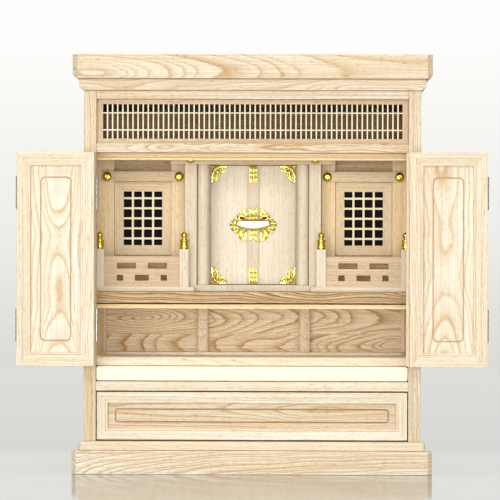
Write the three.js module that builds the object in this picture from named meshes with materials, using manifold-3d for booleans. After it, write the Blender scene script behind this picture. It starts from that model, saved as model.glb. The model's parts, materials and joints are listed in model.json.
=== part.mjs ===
// Household altar cabinet with folding doors, a three-part shrine inside, a shallow niche below it,
// a pull-out board and a drawer. Millimetres, +Z up, front towards -Y. The origin is on the ground,
// under the middle of the whole object as it stands with its doors folded back.

import * as THREE from 'three';
import { mergeVertices } from 'three/addons/utils/BufferGeometryUtils.js';
import Module from 'manifold-3d';

// Driving dimensions of the cabinet body
const bodyWidth = 488;
const bodyDepth = 350;
const stileWidth = 18;
const frontThickness = 19;
const sideThickness = 12.5;
const backThickness = 6;
const fit = 0.3;

// Heights of the front, stacked from the ground up
const plinthHeight = 34;
const baseBoardHeight = 13;
const drawerBottomGap = 2.3;
const drawerHeight = 68.7;
const drawerTopGap = 2;
const middleRailHeight = 13.5;
const slideBottomGap = 1.3;
const slideBoardHeight = 20.4;
const slideTopGap = 0.3;
const openingHeight = 309.4;
const lintelHeight = 13.2;
const transomHeight = 64;
const upperRailHeight = 12.7;
const corniceHeight = 16.2;
const capHeight = 35;

// Mouldings that stand out from the body at the front and the sides
const plinthReach = 16;
const plinthWall = 20;
const plinthCorner = 7;
const baseReturn = 4;
const baseReach = 6.6;
const baseChamfer = 2.5;
const corniceReach = 7;
const corniceChamferHeight = 4.8;
const capReach = 16;
const capChamferReach = 7.7;
const capChamferHeight = 5;
const capCornerRadius = 9;
const cornerSteps = 4;

// Transom lattice
const latticeRecess = 10;
const latticeThickness = 6;
const latticeSideStrip = 8.6;
const latticeEndStrip = 6.8;
const slatCount = 58;
const slatWidth = 2.2;
const latticeBar = 1.9;
const latticeEndRow = 11.8;
const backingGap = 14;
const backingThickness = 6;
const backingHeight = 58;
const ceilingThickness = 8;
const ceilingGap = 1.3;

// Door stop under the lintel
const stopHeight = 10.4;
const stopThickness = 13.7;
const lipHeight = 3.2;
const lipReach = 4.5;

// Shelf under the shrine and the niche below it
const shelfHeight = 16.3;
const shelfSetback = 25;
const shelfUnderGap = 1.8;
const nicheHeight = 69;
const nicheTopThickness = 6.2;
const nicheTopSetback = 27;
const nicheBackDepth = 193;
const nicheBackThickness = 6;
const nicheFloorThickness = 14;
const nicheSideThickness = 4.7;
const nicheCornerStrip = 3.6;
const battenWidth = 16.6;
const battenThickness = 15;
const battenChamfer = 2.4;
const plankJointHeight = 27;
const plankJointDepth = 1.2;
const sillHeight = 10;
const sillThickness = 8;
const sillStep = 2.8;
const sillStepThickness = 8;
const sillSlotHeight = 1;
const sillSlotDepth = 5;

// Folding doors
const leafThickness = 17;
const leafTopGap = 1;
const leafBottomGap = 1.8;
const hingeGap = 2;
const meetingGap = 1.5;
const leafFrameWidth = 19.6;
const leafLand = 10.2;
const grooveSideInset = 14.1;
const grooveEndInset = 16.7;
const grooveRadius = 6.6;
const grooveWidth = 2.2;
const grooveDepth = 1.2;

// Mitred frame moulding, measured in from the land and back from the front face
const quirkWidth = 0.7;
const quirkDepth = 1.3;
const bandDepth = 4.2;
const panelSetback = 7.6;
const panelThickness = 5;
const panelTongue = 5;

// Door hinges
const knuckleRadius = 2.5;
const knuckleSides = 12;
const hingeHeight = 48;
const hingePlateThickness = 0.7;
const hingePlateReach = 14;
const hingeEndDistance = 34;

// Pull-out board
const slideSideGap = 1;
const slideFaceThickness = 18;
const slideFaceRadius = 3;
const slideTrayThickness = 12;
const slideBackGap = 54;

// Drawer
const drawerSideGap = 1.5;
const drawerFrontThickness = 18;
const drawerFrameWidth = 16.1;
const drawerLand = 8.2;
const drawerGrooveSideInset = 10.8;
const drawerGrooveEndInset = 8.9;
const drawerGrooveRadius = 4.3;
const drawerBoxInset = 2.5;
const drawerBackGap = 25.7;
const drawerBoxHeight = 58;
const drawerWall = 8;
const drawerFloor = 5;

// Middle shrine
const shrineHalfWidth = 100.2;
const shrineSetback = 62;
const shrineBackGap = 24;
const shrineBaseHeight = 9.2;
const shrineTopThickness = 8;
const shrineWall = 8;
const shrinePost = 17.6;
const columnRadius = 8.9;
const columnSides = 20;
const columnFrontGap = 2;
const beamHeight = 15.2;
const beamThickness = 8;
const beamHalfLength = 121;
const shrineDoorSetback = 112;
const shrineDoorThickness = 8;
const shrineDoorWidth = 62.4;
const shrineDoorMeetingGap = 1.6;
const shrineDoorHingeGap = 0.4;
const shrineDoorEndGap = 0.7;
const meetingBattenWidth = 16.4;
const meetingBattenThickness = 4;

// Side shrines
const sideShrineCentre = 163.5;
const sideShrineSetback = 92;
const sideShrineThickness = 16;
const sideWindowWidth = 84;
const sideWindowHeight = 109;
const sideWindowBottom = 53;
const sideInnerJamb = 20;
const sideBeamHeight = 14.8;
const sideBeamThickness = 6;
const sideTopWall = 4;
const pilasterWidth = 5.8;
const pilasterReach = 5;
const sideLatticeThickness = 6;
const sideLatticeSetback = 4;
const sideLatticeSide = 13.4;
const sideLatticeEnd = 14.6;
const sideLatticeBar = 3.6;
const sideLatticeColumns = 4;
const sideLatticeRows = 6;
const sideLatticeEndRow = 8.3;

// Fences in front of the side shrines
const fenceSetback = 42;
const fenceSillDepth = 18;
const fenceSillHeight = 6.8;
const fenceSillInner = 85;
const fencePost = 14;
const fencePostHeight = 62;
const fenceInnerPost = 93.3;
const fenceRailHeight = 44.5;
const fencePanelThickness = 6;
const fenceCutHeight = 8.4;
const fenceCutTop = 9.5;
const fenceCutPitch = 17.8;
const fenceCutHalfSpan = 36.7;
const fenceUpperRib = 17.4;
const fenceLowerEndCut = 9.2;
const fenceLowerMiddleCut = 20.6;

// Finials on the fence posts
const finialHeight = 25.5;
const finialRadius = 6.4;
const finialSides = 12;

// Heights worked out from the stack
const baseTop = plinthHeight + baseBoardHeight;
const drawerBottom = baseTop + drawerBottomGap;
const drawerTop = drawerBottom + drawerHeight;
const middleRailBottom = drawerTop + drawerTopGap;
const middleRailTop = middleRailBottom + middleRailHeight;
const slideBottom = middleRailTop + slideBottomGap;
const slideTop = slideBottom + slideBoardHeight;
const openingBottom = slideTop + slideTopGap;
const openingTop = openingBottom + openingHeight;
const lintelTop = openingTop + lintelHeight;
const transomTop = lintelTop + transomHeight;
const bodyTop = transomTop + upperRailHeight;
const corniceTop = bodyTop + corniceHeight;
const capTop = corniceTop + capHeight;
const nicheFloorTop = openingBottom + nicheFloorThickness;
const nicheTop = nicheFloorTop + nicheHeight;
const shelfBottom = nicheTop + nicheTopThickness + shelfUnderGap;
const shelfTop = shelfBottom + shelfHeight;

// Widths worked out from the body
const bodyHalf = bodyWidth / 2;
const openingHalf = bodyHalf - stileWidth;
const interiorHalf = bodyHalf - sideThickness;
const insideHalf = interiorHalf - fit;
const interiorDepth = bodyDepth - backThickness;

// Door leaves and their hinge lines. The stile hinge stands just in front of the cabinet, and the
// fold hinge just in front of the first leaf, which is folded out flat against the stile.
const leafWidth = (openingHalf - 2 * hingeGap - meetingGap / 2) / 2;
const leafBottom = openingBottom + leafBottomGap;
const leafTop = openingTop - leafTopGap;
const hingeStandOff = knuckleRadius + fit;
const foldPitch = leafThickness + 2 * hingeStandOff;
const doorStack = 2 * foldPitch;
const stileHingeX = openingHalf - hingeGap / 2;
const foldHingeX = openingHalf + leafWidth + hingeGap / 2;

// Depth is counted from the front face of the cabinet body, towards the back
const frontY = -(bodyDepth - doorStack) / 2;
const at = (depth) => frontY + depth;

const wasm = await Module();
wasm.setup();

// Solids and meshes
function toSolid(geometry) {
  const plain = geometry.clone();
  plain.deleteAttribute('normal');
  plain.deleteAttribute('uv');
  const merged = mergeVertices(plain, 1e-4);
  return new wasm.Manifold(new wasm.Mesh({
    numProp: 3,
    vertProperties: Float32Array.from(merged.attributes.position.array),
    triVerts: Uint32Array.from(merged.index.array),
  }));
}

function toGeometry(solid) {
  const mesh = solid.getMesh();
  const geometry = new THREE.BufferGeometry();
  geometry.setAttribute('position', new THREE.BufferAttribute(mesh.vertProperties, 3));
  geometry.setIndex(new THREE.BufferAttribute(mesh.triVerts, 1));
  return geometry;
}

function join(...geometries) {
  const [first, ...rest] = geometries.map(toSolid);
  return toGeometry(rest.reduce((sum, next) => sum.add(next), first));
}

function cut(geometry, ...tools) {
  return toGeometry(tools.map(toSolid).reduce((rest, tool) => rest.subtract(tool), toSolid(geometry)));
}

// Box between two limits on each axis
function block([x0, x1], [y0, y1], [z0, z1]) {
  const box = new THREE.BoxGeometry(x1 - x0, y1 - y0, z1 - z0);
  return box.translate((x0 + x1) / 2, (y0 + y1) / 2, (z0 + z1) / 2);
}

// Board in the front view with openings cut right through it. Each opening is a pair of limits.
function perforatedBoard(xLimits, zLimits, [near, far], openings) {
  const tools = openings.map(([x, z]) => block(x, [at(near - fit), at(far + fit)], z));
  return cut(block(xLimits, [at(near), at(far)], zLimits), ...tools);
}

function extrude(points, length, axes) {
  const shape = new THREE.Shape(points.map(([u, v]) => new THREE.Vector2(u, v)));
  const geometry = new THREE.ExtrudeGeometry(shape, { depth: length, steps: 1, bevelEnabled: false });
  return geometry.applyMatrix4(new THREE.Matrix4().makeBasis(...axes));
}

const axisX = new THREE.Vector3(1, 0, 0);
const axisY = new THREE.Vector3(0, 1, 0);
const axisZ = new THREE.Vector3(0, 0, 1);

// Side profile of depth and height, run across the cabinet
function crossRail(profile, [x0, x1]) {
  const outline = profile.map(([depth, z]) => [at(depth), z]);
  return extrude(outline, x1 - x0, [axisY, axisZ, axisX]).translate(x0, 0, 0);
}

// Front outline of width and height, run from front to back
function frontBoard(outline, [near, far]) {
  const backwards = axisY.clone().negate();
  return extrude(outline, far - near, [axisX, axisZ, backwards]).translate(0, at(far), 0);
}

// Plan outline of width and depth, run upwards
function upright(plan, [z0, z1]) {
  const outline = plan.map(([x, depth]) => [x, at(depth)]);
  return extrude(outline, z1 - z0, [axisX, axisY, axisZ]).translate(0, 0, z0);
}

function rectangle([u0, u1], [v0, v1]) {
  return [[u0, v0], [u1, v0], [u1, v1], [u0, v1]];
}

// Corner of an outline, as one point or as an arc of a quarter turn
function cornerArc(u, v, radius, start, steps = cornerSteps) {
  if (radius <= 0) return [[u, v]];
  return Array.from({ length: steps + 1 }, (_, i) => {
    const angle = start + (i / steps) * (Math.PI / 2);
    return [u + radius * Math.cos(angle), v + radius * Math.sin(angle)];
  });
}

function roundedRectangle([u0, u1], [v0, v1], radius) {
  const quarter = Math.PI / 2;
  const centres = [[u0 + radius, v0 + radius], [u1 - radius, v0 + radius],
    [u1 - radius, v1 - radius], [u0 + radius, v1 - radius]];
  return centres.flatMap(([u, v], i) => cornerArc(u, v, radius, (i + 2) * quarter));
}

// Closed surface through rings of the same number of points. A loop of rings closes on itself, and
// an open run of rings gets a flat cap at each end.
function skin(rings, isLoop) {
  const count = rings[0].length;
  const triangles = [];
  const spans = isLoop ? rings.length : rings.length - 1;
  for (let ring = 0; ring < spans; ring += 1) {
    const here = ring * count;
    const next = ((ring + 1) % rings.length) * count;
    for (let i = 0; i < count; i += 1) {
      const j = (i + 1) % count;
      triangles.push(here + i, here + j, next + j, here + i, next + j, next + i);
    }
  }
  if (!isLoop) {
    const cap = THREE.ShapeUtils.triangulateShape(rings[0].map(([x, y]) => new THREE.Vector2(x, y)), []);
    const top = (rings.length - 1) * count;
    cap.forEach(([a, b, c]) => triangles.push(c, b, a, top + a, top + b, top + c));
  }
  const geometry = new THREE.BufferGeometry();
  geometry.setAttribute('position', new THREE.Float32BufferAttribute(rings.flat(2), 3));
  geometry.setIndex(triangles);
  return facesOut(geometry);
}

// Turns every triangle over where the surface encloses a negative volume
function facesOut(geometry) {
  const corner = new THREE.Vector3();
  const points = Array.from({ length: geometry.attributes.position.count },
    (_, i) => corner.fromBufferAttribute(geometry.attributes.position, i).clone());
  const index = geometry.index.array;
  let volume = 0;
  for (let i = 0; i < index.length; i += 3) {
    const [a, b, c] = [points[index[i]], points[index[i + 1]], points[index[i + 2]]];
    volume += a.dot(corner.crossVectors(b, c));
  }
  if (volume < 0) index.reverse();
  return geometry;
}

// Plan points of a board that is wide in front of the return depth and as wide as the body behind it
function narrowRear(half, returnDepth) {
  return [
    [half, returnDepth], [bodyHalf, returnDepth], [bodyHalf, bodyDepth],
    [-bodyHalf, bodyDepth], [-bodyHalf, returnDepth], [-half, returnDepth],
  ];
}

// Slab that overhangs the body at the front and the sides and is flush at the back. Each level
// gives a height and the overhang there. The side overhang ends at the return depth.
function overhangingSlab(levels, cornerRadius, returnDepth = bodyDepth) {
  const widest = Math.max(...levels.map(([, reach]) => reach));
  const rings = levels.map(([z, reach]) => {
    const half = bodyHalf + reach;
    const radius = Math.max(cornerRadius - (widest - reach), cornerRadius / cornerSteps);
    const left = cornerArc(-half + radius, radius - reach, radius, Math.PI);
    const right = cornerArc(half - radius, radius - reach, radius, Math.PI * 1.5);
    const rear = returnDepth < bodyDepth
      ? narrowRear(half, returnDepth)
      : [[half, bodyDepth], [-half, bodyDepth]];
    return [...left, ...right, ...rear].map(([x, depth]) => [x, at(depth), z]);
  });
  return skin(rings, false);
}

// Ring of one profile round a rectangle in the front view. Each profile point gives its inset from
// the outer edge and its depth.
function ring([x0, x1], [z0, z1], profile, radius = 0) {
  const rings = profile.map(([inset, depth]) => {
    const xLimits = [x0 + inset, x1 - inset];
    const zLimits = [z0 + inset, z1 - inset];
    const outline = radius > 0
      ? roundedRectangle(xLimits, zLimits, radius - inset)
      : rectangle(xLimits, zLimits);
    return outline.map(([x, z]) => [x, depth, z]);
  });
  return skin(rings, true);
}

// Mitred frame with a groove for its panel. It faces forward, or backward where facing is -1.
function mitredFrame(xLimits, zLimits, face, facing, { width, land, thickness }) {
  const grooveFront = panelSetback - fit;
  const grooveBack = panelSetback + panelThickness + fit;
  const profile = [
    [0, 0], [land, 0], [land + quirkWidth, quirkDepth], [width, bandDepth],
    [width, grooveFront], [width - panelTongue, grooveFront],
    [width - panelTongue, grooveBack], [width, grooveBack], [width, thickness], [0, thickness],
  ];
  return ring(xLimits, zLimits, profile.map(([inset, back]) => [inset, face + facing * back]));
}

// Loose panel in the groove of a mitred frame, with a V groove cut round a rounded rectangle
function groovedPanel([x0, x1], [z0, z1], face, facing, { width, sideInset, endInset, radius }) {
  const edge = width - panelTongue + fit;
  const front = face + facing * panelSetback;
  const back = front + facing * panelThickness;
  const board = block([x0 + edge, x1 - edge], [Math.min(front, back), Math.max(front, back)],
    [z0 + edge, z1 - edge]);
  const side = width + sideInset - grooveWidth / 2;
  const end = width + endInset - grooveWidth / 2;
  const proud = front - facing * grooveDepth;
  const bottom = front + facing * grooveDepth;
  const profile = [[-grooveWidth / 2, proud], [grooveWidth / 2, bottom], [grooveWidth * 1.5, proud]];
  return cut(board, ring([x0 + side, x1 - side], [z0 + end, z1 - end], profile, radius + grooveWidth / 2));
}

// Woods and metals
const ash = { color: 0xe9d3ac, roughness: 0.62, metalness: 0 };
const shadedAsh = { color: 0xd9bd90, roughness: 0.66, metalness: 0 };
const cypress = { color: 0xe8cfab, roughness: 0.55, metalness: 0 };
const creamBoard = { color: 0xfaf0d9, roughness: 0.5, metalness: 0 };
const latticeWood = { color: 0xdcb98f, roughness: 0.6, metalness: 0 };
const brownWood = { color: 0x7a5a38, roughness: 0.7, metalness: 0 };
const steel = { color: 0xc9c9cc, roughness: 0.3, metalness: 0.9 };
const gold = { color: 0xe3b93c, roughness: 0.22, metalness: 1 };

const cabinet = new THREE.Group();

function add(name, finish, geometry) {
  geometry.deleteAttribute('uv');
  const mesh = new THREE.Mesh(geometry, new THREE.MeshStandardMaterial(finish));
  mesh.name = name;
  cabinet.add(mesh);
}

// Left and right copies: the mirrored limits of a span that is given for the right side
const sides = [['left', -1], ['right', 1]];

function span(side, inner, outer) {
  return side < 0 ? [-outer, -inner] : [inner, outer];
}

const across = (half) => [-half, half];

// Plinth frame, open underneath, and the moulded board on it. Both stand out from the body in front,
// with short returns at the sides.
function addBase() {
  const outer = bodyHalf + plinthReach;
  const plan = [
    [-outer + plinthCorner, -plinthReach], [outer - plinthCorner, -plinthReach],
    [outer, plinthCorner - plinthReach], ...narrowRear(outer, baseReturn),
    [-outer, plinthCorner - plinthReach],
  ];
  const hollow = block(across(bodyHalf - plinthWall), [at(baseReturn), at(bodyDepth - plinthWall)],
    [-fit, plinthHeight + fit]);
  add('plinth', ash, cut(upright(plan, [0, plinthHeight]), hollow));
  const levels = [
    [plinthHeight + fit, baseReach], [baseTop - baseChamfer, baseReach], [baseTop, baseReach - baseChamfer],
  ];
  add('base_board', ash, overhangingSlab(levels, baseChamfer * 2, baseReturn));
}

function addCarcass() {
  const height = [baseTop + fit, bodyTop - fit];
  for (const [word, side] of sides) {
    const panelDepth = [at(frontThickness + fit), at(bodyDepth)];
    add(`${word}_side_panel`, ash, block(span(side, interiorHalf, bodyHalf), panelDepth, height));
    const stileDepth = [at(0), at(frontThickness)];
    add(`${word}_front_stile`, ash, block(span(side, openingHalf, bodyHalf), stileDepth, height));
  }
  const railDepth = [at(0), at(frontThickness)];
  const railWidth = across(openingHalf - fit);
  add('back_panel', ash, block(across(insideHalf), [at(interiorDepth), at(bodyDepth)], height));
  add('upper_rail', ash, block(railWidth, railDepth, [transomTop + fit, bodyTop - fit]));
  add('lintel_rail', ash, block(railWidth, railDepth, [openingTop, lintelTop]));
}

function addCrown() {
  const corniceLevels = [
    [bodyTop, fit], [bodyTop + corniceChamferHeight, corniceReach], [corniceTop, corniceReach],
  ];
  add('cornice', ash, overhangingSlab(corniceLevels, corniceReach + fit));
  const capLevels = [
    [corniceTop + fit, capReach - capChamferReach],
    [corniceTop + capChamferHeight, capReach], [capTop, capReach],
  ];
  add('top_cap', ash, overhangingSlab(capLevels, capCornerRadius));
}

// Lattice of narrow upright slats and two flush bars in a thin frame
function addTransom() {
  const half = openingHalf - fit;
  const bottom = lintelTop + fit;
  const holeHalf = half - latticeSideStrip;
  const gap = (2 * holeHalf - slatCount * slatWidth) / (slatCount + 1);
  const low = bottom + latticeEndStrip;
  const high = transomTop - latticeEndStrip;
  const rows = [
    [low, low + latticeEndRow],
    [low + latticeEndRow + latticeBar, high - latticeEndRow - latticeBar],
    [high - latticeEndRow, high],
  ];
  const openings = [];
  for (let i = 0; i <= slatCount; i += 1) {
    const left = -holeHalf + i * (gap + slatWidth);
    for (const row of rows) openings.push([[left, left + gap], row]);
  }
  const depth = [latticeRecess, latticeRecess + latticeThickness];
  add('transom_lattice', latticeWood, perforatedBoard(across(half), [bottom, transomTop], depth, openings));
}

// Ceiling over the shrine, turned up behind the lattice
function addCeiling() {
  const front = latticeRecess + latticeThickness + backingGap;
  const back = front + backingThickness;
  const low = openingTop + ceilingGap;
  const profile = [
    [front, low], [interiorDepth - fit, low], [interiorDepth - fit, low + ceilingThickness],
    [back, low + ceilingThickness], [back, low + backingHeight], [front, low + backingHeight],
  ];
  add('ceiling_board', brownWood, crossRail(profile, across(insideHalf)));
}

// Rail whose lower edge carries a small lip towards the front
function lippedProfile(front, back, bottom, top) {
  return [
    [front, bottom], [back, bottom], [back, top], [front + lipReach, top],
    [front + lipReach, bottom + lipHeight], [front, bottom + lipHeight],
  ];
}

function addStop() {
  const front = frontThickness + fit;
  const profile = lippedProfile(front, front + stopThickness, openingTop - stopHeight, openingTop);
  add('door_stop', shadedAsh, crossRail(profile, across(insideHalf)));
}

function addNiche() {
  const sideFace = interiorHalf - nicheSideThickness;
  const cornerFace = sideFace - nicheCornerStrip;
  const battenFront = nicheBackDepth - battenThickness;
  const height = [nicheFloorTop + fit, nicheTop - fit];

  const shelfDepth = [at(shelfSetback), at(interiorDepth - fit)];
  add('shrine_shelf', ash, block(across(insideHalf), shelfDepth, [shelfBottom, shelfTop]));
  const topProfile = lippedProfile(nicheTopSetback, nicheBackDepth + nicheBackThickness,
    nicheTop, nicheTop + nicheTopThickness);
  add('niche_top_board', shadedAsh, crossRail(topProfile, across(insideHalf)));

  for (const [word, side] of sides) {
    const outline = [
      [insideHalf, nicheTopSetback], [insideHalf, nicheBackDepth - fit],
      [cornerFace, nicheBackDepth - fit], [cornerFace, battenFront],
      [sideFace, battenFront], [sideFace, nicheTopSetback],
    ];
    const plan = outline.map(([x, depth]) => [side * x, depth]);
    add(`niche_side_${word}`, shadedAsh, upright(plan, height));
  }

  const bay = (2 * cornerFace - 2 * battenWidth) / 3;
  for (const [word, side] of sides) {
    const inner = bay / 2;
    const outer = inner + battenWidth;
    const outline = [
      [inner, nicheBackDepth - fit], [inner, battenFront + battenChamfer],
      [inner + battenChamfer, battenFront], [outer - battenChamfer, battenFront],
      [outer, battenFront + battenChamfer], [outer, nicheBackDepth - fit],
    ];
    add(`niche_batten_${word}`, shadedAsh, upright(outline.map(([x, depth]) => [side * x, depth]), height));
  }

  const joint = nicheFloorTop + plankJointHeight;
  const backProfile = [
    [nicheBackDepth, height[0]], [nicheBackDepth + nicheBackThickness, height[0]],
    [nicheBackDepth + nicheBackThickness, height[1]], [nicheBackDepth, height[1]],
    [nicheBackDepth, joint + plankJointDepth], [nicheBackDepth + plankJointDepth, joint],
    [nicheBackDepth, joint - plankJointDepth],
  ];
  add('niche_back', shadedAsh, crossRail(backProfile, across(insideHalf)));

  const sillFront = frontThickness + fit;
  const stepFront = sillFront + sillThickness;
  const floorFront = stepFront + sillStepThickness;
  const sillTop = openingBottom + sillHeight;
  const stepTop = sillTop + sillStep;
  const slotTop = Math.min(stepTop + sillSlotHeight, nicheFloorTop - fit);
  const floorProfile = [
    [sillFront, openingBottom], [interiorDepth - fit, openingBottom],
    [interiorDepth - fit, nicheFloorTop], [floorFront, nicheFloorTop],
    [floorFront, slotTop], [floorFront + sillSlotDepth, slotTop], [floorFront + sillSlotDepth, stepTop],
    [stepFront, stepTop], [stepFront, sillTop], [sillFront, sillTop],
  ];
  add('niche_floor', ash, crossRail(floorProfile, across(insideHalf)));
}

// Middle rail and the board behind it, which carries the pull-out board
function addMiddleRail() {
  const railHalf = openingHalf - fit;
  const back = interiorDepth - fit;
  const shoulder = frontThickness + fit;
  const plan = [
    [-railHalf, 0], [railHalf, 0], [railHalf, shoulder], [insideHalf, shoulder],
    [insideHalf, back], [-insideHalf, back], [-insideHalf, shoulder], [-railHalf, shoulder],
  ];
  add('middle_rail', ash, upright(plan, [middleRailBottom, middleRailTop]));
}

function addPullOutBoard() {
  const half = openingHalf - slideSideGap;
  const face = frontBoard(roundedRectangle(across(half), [slideBottom, slideTop], slideFaceRadius),
    [0, slideFaceThickness]);
  const trayDepth = [at(slideFaceThickness / 2), at(interiorDepth - slideBackGap)];
  const tray = block(across(half - slideSideGap), trayDepth, [slideBottom, slideBottom + slideTrayThickness]);
  add('pull_out_board', creamBoard, join(face, tray));
}

function addDrawer() {
  const half = openingHalf - drawerSideGap;
  const upDown = [drawerBottom, drawerTop];
  const frame = { width: drawerFrameWidth, land: drawerLand, thickness: drawerFrontThickness };
  add('drawer_front_frame', ash, mitredFrame(across(half), upDown, at(0), 1, frame));
  const panel = {
    width: drawerFrameWidth,
    sideInset: drawerGrooveSideInset,
    endInset: drawerGrooveEndInset,
    radius: drawerGrooveRadius,
  };
  add('drawer_front_panel', ash, groovedPanel(across(half), upDown, at(0), 1, panel));

  const boxHalf = half - drawerBoxInset;
  const front = drawerFrontThickness + fit;
  const back = interiorDepth - drawerBackGap;
  const bottom = baseTop + 2 * fit;
  const outside = block(across(boxHalf), [at(front), at(back)], [bottom, bottom + drawerBoxHeight]);
  const inside = block(across(boxHalf - drawerWall), [at(front + drawerWall), at(back - drawerWall)],
    [bottom + drawerFloor, bottom + drawerBoxHeight + drawerWall]);
  add('drawer_box', shadedAsh, cut(outside, inside));
}

// One door leaf with the given x limits. The first leaf lies against the stile with its moulded face
// to the back, and the second lies on the first with its moulded face to the front.
function addLeaf(name, limits, face, facing) {
  const frame = { width: leafFrameWidth, land: leafLand, thickness: leafThickness };
  const upDown = [leafBottom, leafTop];
  add(`${name}_frame`, ash, mitredFrame(limits, upDown, at(face), facing, frame));
  const panel = {
    width: leafFrameWidth, sideInset: grooveSideInset, endInset: grooveEndInset, radius: grooveRadius,
  };
  add(`${name}_panel`, ash, groovedPanel(limits, upDown, at(face), facing, panel));
}

// Butt hinge: a knuckle and one plate, let in on the edge that it is fixed to
function hinge(axisDepth, x, side, plateDepth, middle) {
  const barrel = new THREE.CylinderGeometry(knuckleRadius, knuckleRadius, hingeHeight, knuckleSides);
  barrel.rotateX(Math.PI / 2).translate(x, at(axisDepth), middle);
  const plateX = side > 0 ? [x, x + hingePlateThickness] : [x - hingePlateThickness, x];
  const plate = block(plateX, [at(Math.min(axisDepth, plateDepth)), at(Math.max(axisDepth, plateDepth))],
    [middle - hingeHeight / 2, middle + hingeHeight / 2]);
  return join(barrel, plate);
}

function addDoors() {
  const hingeMiddles = [
    ['lower', leafBottom + hingeEndDistance + hingeHeight / 2],
    ['upper', leafTop - hingeEndDistance - hingeHeight / 2],
  ];
  const stileAxis = -hingeStandOff;
  const foldAxis = stileAxis - foldPitch;
  for (const [word, side] of sides) {
    const limits = span(side, openingHalf, openingHalf + leafWidth);
    addLeaf(`${word}_inner_leaf`, limits, stileAxis - hingeStandOff, -1);
    addLeaf(`${word}_outer_leaf`, limits, -doorStack, 1);
    for (const [level, middle] of hingeMiddles) {
      const stileHinge = hinge(stileAxis, side * stileHingeX, side, hingePlateReach, middle);
      add(`${word}_stile_hinge_${level}`, steel, stileHinge);
      const foldPlate = foldAxis + hingeStandOff + hingePlateReach;
      const foldHinge = hinge(foldAxis, side * foldHingeX, -side, foldPlate, middle);
      add(`${word}_fold_hinge_${level}`, steel, foldHinge);
    }
  }
}

// Middle shrine: a case with a deep hollow, standing posts in front of it and a jamb at each side
// of its doors
function addMiddleShrine() {
  const front = shrineSetback;
  const back = interiorDepth - shrineBackGap;
  const bottom = shelfTop + fit;
  const baseTopZ = bottom + shrineBaseHeight;
  const top = openingTop;
  const headBottom = top - shrineTopThickness;
  const doorFront = shrineDoorSetback;
  const doorBack = doorFront + shrineDoorThickness;
  const doorHalf = shrineDoorMeetingGap / 2 + shrineDoorWidth;
  const doorZ = [baseTopZ + shrineDoorEndGap, top - beamHeight - fit];

  const outside = block(across(shrineHalfWidth), [at(front), at(back)], [bottom, top]);
  const hollow = block(across(shrineHalfWidth - shrineWall), [at(doorBack), at(back - shrineWall)],
    [baseTopZ, headBottom]);
  const doorway = block(across(doorHalf + shrineDoorHingeGap), [at(front - fit), at(doorBack + fit)],
    [baseTopZ, doorZ[1] + shrineDoorEndGap]);
  const porch = block(across(shrineHalfWidth - shrinePost), [at(front - fit), at(doorFront)],
    [baseTopZ, headBottom]);
  const sideNotches = sides.map(([, side]) => block(
    span(side, shrineHalfWidth - shrinePost - fit, shrineHalfWidth + fit),
    [at(front + shrinePost), at(doorFront)], [baseTopZ, headBottom]));
  add('shrine_case', cypress, cut(outside, hollow, doorway, porch, ...sideNotches));

  const columnZ = [baseTopZ + fit, headBottom - fit];
  const columnHeight = columnZ[1] - columnZ[0];
  for (const [word, side] of sides) {
    const column = new THREE.CylinderGeometry(columnRadius, columnRadius, columnHeight, columnSides);
    column.rotateX(Math.PI / 2);
    column.translate(side * (shrineHalfWidth - shrinePost - fit - columnRadius),
      at(front + columnFrontGap + columnRadius), (columnZ[0] + columnZ[1]) / 2);
    add(`shrine_column_${word}`, cypress, column);
  }

  const beamFront = front - fit - beamThickness;
  add('shrine_beam', cypress, block(across(beamHalfLength), [at(beamFront), at(front - fit)],
    [top - beamHeight, top]));

  for (const [word, side] of sides) {
    const limits = span(side, shrineDoorMeetingGap / 2, doorHalf);
    add(`shrine_door_${word}`, cypress, block(limits, [at(doorFront), at(doorBack)], doorZ));
  }
  const battenBack = doorFront - fit;
  add('shrine_meeting_batten', cypress, block(across(meetingBattenWidth / 2),
    [at(battenBack - meetingBattenThickness), at(battenBack)], doorZ));
}

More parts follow.
